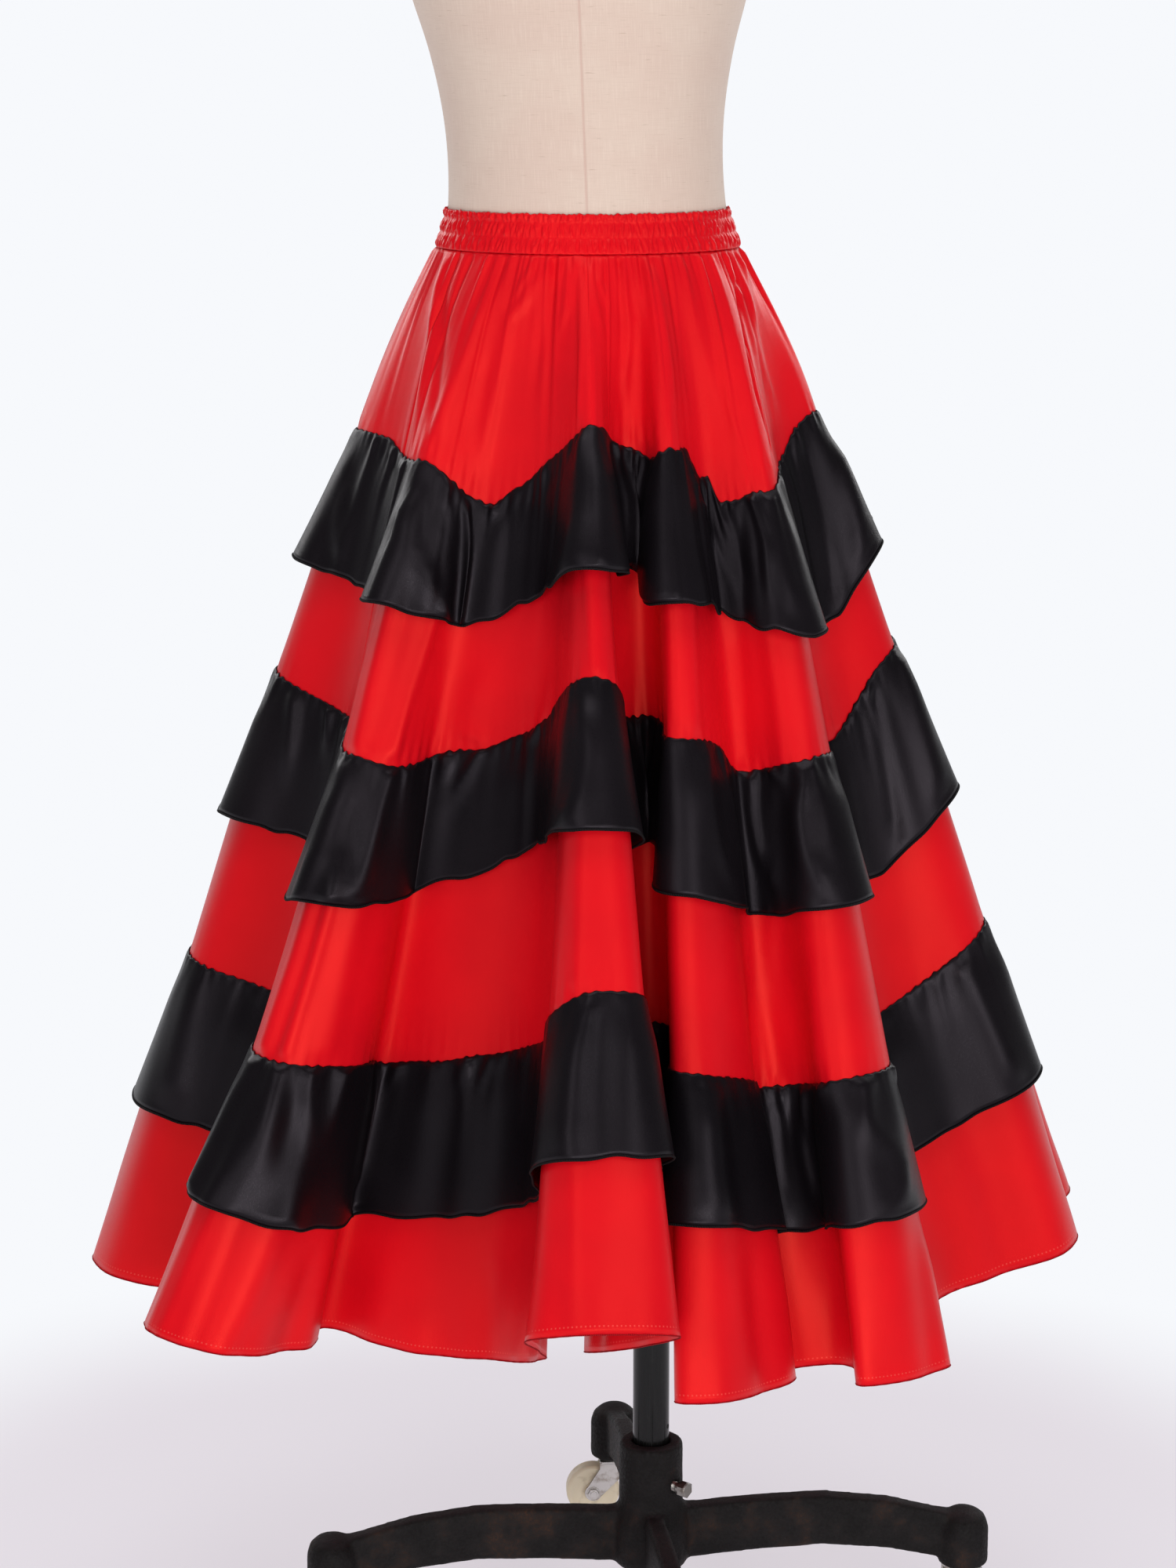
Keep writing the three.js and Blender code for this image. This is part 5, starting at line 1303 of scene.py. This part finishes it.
def pole_pin_hole():
    """A rimmed hole in the tube, above the hub: a near-black disc, painted shade where the tube's dark
    inside would show.
    """
    hole = Solid().lathe(rounded_profile(2.2, POLE_R - 0.9, POLE_R + 0.12, 0.05, 0.3), 20)
    turn = Matrix.Rotation(math.radians(POLE_HOLE_TURN), 4, "Z") @ UPRIGHT
    place = Matrix.Translation((POLE_X, POLE_Y, POLE_HOLE_Z)) @ turn
    dark = Graph("hole_painted_shade")
    grime_and_shade = dark.noise(dark.add("TexCoord", out=3), 700)
    # Painted shade: the disc is near-black as the inside of the tube, with a faint mottle.
    shade = dark.mix(grime_and_shade, (0.001, 0.001, 0.001), (0.006, 0.005, 0.005))
    dark.set(dark.shader, Base_Color=shade, Roughness=0.9)
    return dress(hole.object("pole_pin_hole", place), dark.material, "dressed_form", "black_pole")


stand_pole()
pole_pin_hole()


def cast_base():
    """The casting: the solid's own form with rounded edges and a rough skin."""
    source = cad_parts["cast_base"]
    piece = add_object("base_casting", source.data.copy())
    remesh = piece.modifiers.new("remesh", "REMESH")
    remesh.mode = "VOXEL"
    remesh.voxel_size = 2.4 * MM
    soften = piece.modifiers.new("soften", "SMOOTH")
    soften.factor = 0.5
    soften.iterations = 5
    for size, strength in ((14, 0.55), (4, 0.35)):
        cloud = bpy.data.textures.new(f"casting_{size}", "CLOUDS")
        cloud.noise_scale = size * MM
        rough = piece.modifiers.new(f"rough_{size}", "DISPLACE")
        rough.texture = cloud
        rough.texture_coords = "GLOBAL"
        rough.strength = strength * MM
        rough.mid_level = 0.5
    evaluated = piece.evaluated_get(bpy.context.evaluated_depsgraph_get())
    final = bpy.data.meshes.new_from_object(evaluated)
    piece.modifiers.clear()
    piece.data = final
    final.shade_smooth()
    return dress(piece, cast_iron(), "base", "cast_iron", "cast_base")


cast_base()


def set_screw():
    """A threaded clamping screw with a collar and a six-sided head."""
    screw = Solid()
    thread = [(3.6, POLE_R + 0.4)]
    z = POLE_R + 1
    while z < HUB_R + 6:
        thread += [(3.7, z), (4.4, z + 0.55), (3.7, z + 1.1)]
        z += 1.25
    screw.lathe(thread, 24)
    screw.lathe(rounded_profile(5.6, HUB_R + 2.5, HUB_R + 6, 0.8, 0.8), 28)
    screw.extrude(hexagon(7.3), HUB_R + 6.2, HUB_R + 12.4)
    screw.lathe(rounded_profile(5.9, HUB_R + 12, HUB_R + 13, 0.1, 0.8), 28)
    out = Matrix.Rotation(math.radians(SCREW_TURN - 90), 4, "Z") @ Matrix.Rotation(math.pi / 2, 4, "Y")
    piece = screw.object("clamp_screw", Matrix.Translation((POLE_X, POLE_Y, SCREW_Z)) @ out, bevel=0.45)
    steel = worn_steel("screw_steel_worn", (0.36, 0.34, 0.32), (0.12, 0.08, 0.05), 0.28)
    return dress(piece, steel, "base", "screw_steel", "set_screw")


set_screw()


def caster_fork():
    """Two tapered cheeks under a crown, the ball race above it and the axle's bolt through them."""
    fork = Solid()
    outline = [(-13, CROWN_Z + 2), (-13, CROWN_Z - 5)]
    for k in range(13):
        angle = math.pi + 0.5 + (math.pi + 0.4) * k / 12
        outline.append((CASTER_TRAIL + 8 * math.cos(angle), WHEEL_R + 8 * math.sin(angle)))
    outline += [(14, CROWN_Z - 4), (14, CROWN_Z + 2)]
    for low in (FORK_INSIDE, -FORK_INSIDE - FORK_PLATE):
        fork.extrude(outline, low, low + FORK_PLATE, UPRIGHT)
    width = FORK_INSIDE + FORK_PLATE
    crown = []
    inset = width - 3
    for cx, cy, start in ((11, inset, 0), (-10, inset, 90), (-10, -inset, 180), (11, -inset, 270)):
        for k in range(5):
            angle = math.radians(start + 22.5 * k)
            crown.append((cx + 3 * math.cos(angle), cy + 3 * math.sin(angle)))
    fork.extrude(crown, CROWN_Z, CROWN_Z + 3)
    fork.lathe(rounded_profile(11, CROWN_Z + 2.4, CAP_BOTTOM_Z - 0.4, 0.6, 1.2), 36)
    fork.lathe(rounded_profile(STEM_R, CROWN_Z + 2, STEM_TOP_Z, 0.3, 0.8), 24)
    axle = Matrix.Translation((CASTER_TRAIL, 0, WHEEL_R)) @ UPRIGHT
    fork.lathe(rounded_profile(3.2, -width - 4.5, width + 4.5, 0.4, 0.6), 20, axle)
    for low in (-width - 0.9, width):
        fork.lathe(rounded_profile(6.2, low, low + 0.9, 0.2, 0.2), 28, axle)
    fork.extrude(hexagon(5.4), width + 0.9, width + 3.6, axle)
    fork.extrude(hexagon(5.4), -width - 3.6, -width - 0.9, axle)
    return fork


def caster_wheel():
    """A nylon wheel: rounded tread, recessed faces and a raised hub."""
    half = WHEEL_WIDTH / 2
    face = [(WHEEL_BORE, -half - 0.6), (7.6, -half - 0.6), (8.4, -half), (8.8, -half + 1.8),
            (12, -half + 2.2), (18.5, -half + 2.0), (20.4, -half + 0.8), (22.4, -half + 0.9)]
    rim = [(WHEEL_R - 0.2 - 2.6 * (1 - math.sin(a)), -half + 1.2 + 2.6 * (1 - math.cos(a)))
           for a in np.linspace(0.1, math.pi / 2, 6)]
    side = face + rim
    return Solid().lathe(side + [(r, -z) for r, z in reversed(side)], 72)


fork_steel = worn_steel("fork_steel_worn", (0.55, 0.53, 0.51), (0.24, 0.19, 0.15), 0.34)
nylon = cream_nylon()
for caster in CASTERS:
    leg = math.radians(caster["turn"] + BASE_TURN)
    place = Matrix.Translation((POLE_X + LEG_REACH * math.cos(leg), POLE_Y + LEG_REACH * math.sin(leg), 0))
    place = place @ Matrix.Rotation(math.radians(caster["trail"]), 4, "Z")
    label = caster["name"]
    dress(caster_fork().object(f"fork_{label}_steel", place, bevel=0.5), fork_steel, f"fork_{label}",
          "fork_steel", f"caster_fork_{label}")
    hub = place @ Matrix.Translation((CASTER_TRAIL, 0, WHEEL_R))
    dress(caster_wheel().object(f"wheel_{label}_nylon", hub @ UPRIGHT), nylon, f"wheel_{label}",
          "wheel_plastic", f"caster_wheel_{label}")


# ------------------------------------------------------------- stage, light, camera
def stage_floor():
    """A pale floor that fades into a white backdrop away from the stand."""
    g = Graph("studio_floor")
    place = g.add("TexCoord", out=3)
    distance = g.add("VectorMath", out=1, settings=dict(operation="LENGTH"), _0=place)
    mottled = g.noise(place, 2.5, detail=2)
    uneven = g.math("MULTIPLY", g.math("SUBTRACT", mottled, 0.5), 0.12)
    fade = g.ramp(g.math("ADD", distance, uneven), 0, 1, 0.62, 1.05)
    g.set(g.shader, Base_Color=(0.84, 0.81, 0.86), Roughness=0.75)
    lit = g.add("Emission", Color=(0.81, 0.765, 0.82), Strength=1.0)
    glow = g.add("Emission", Color=BACKDROP, Strength=1.0)
    near = g.add("MixShader", _0=0.72, _1=g.shader.outputs[0], _2=lit)
    both = g.add("MixShader", _0=fade, _1=near, _2=glow)
    g.links.new(both, g.nodes["Material Output"].inputs["Surface"])
    mesh = bpy.data.meshes.new("floor")
    corners = [(x * FLOOR_HALF, y * FLOOR_HALF, 0) for x, y in ((-1, -1), (1, -1), (1, 1), (-1, 1))]
    mesh.from_pydata(corners, [], [(0, 1, 2, 3)])
    floor = add_object("studio_floor", mesh)
    mesh.materials.append(g.material)


def area_light(name, place, size, energy):
    light = bpy.data.lights.new(name, "AREA")
    light.shape = "RECTANGLE"
    light.size, light.size_y = size
    light.energy = energy
    piece = add_object(name, light)
    piece.location = place
    piece.rotation_mode = "QUATERNION"
    piece.rotation_quaternion = (Vector(LIGHTS_AIM) - Vector(place)).to_track_quat("-Z", "Y")


def studio():
    stage_floor()
    world = bpy.data.worlds.new("studio_white")
    world.use_nodes = True
    nodes, links = world.node_tree.nodes, world.node_tree.links
    back = nodes["Background"]
    back.inputs["Color"].default_value = (*BACKDROP, 1)
    seen = nodes.new("ShaderNodeLightPath")
    strength = nodes.new("ShaderNodeMapRange")
    strength.inputs["To Min"].default_value = ROOM_LIGHT
    links.new(seen.outputs["Is Camera Ray"], strength.inputs["Value"])
    links.new(strength.outputs[0], back.inputs["Strength"])
    bpy.context.scene.world = world
    bpy.context.scene.view_settings.view_transform = "Standard"
    for soft_box in SOFT_BOXES:
        area_light(*soft_box)


def camera():
    data = bpy.data.cameras.new("camera")
    data.sensor_fit = "AUTO"
    data.sensor_width = SENSOR
    data.lens = CAMERA_LENS
    data.clip_start = 0.05
    data.clip_end = 100
    piece = add_object("camera", data)
    piece.location = in_frame(CAMERA_PLACE).tolist()
    piece.rotation_euler = (math.pi / 2 - CAMERA_PITCH, 0, 0)
    bpy.context.scene.camera = piece


studio()
camera()
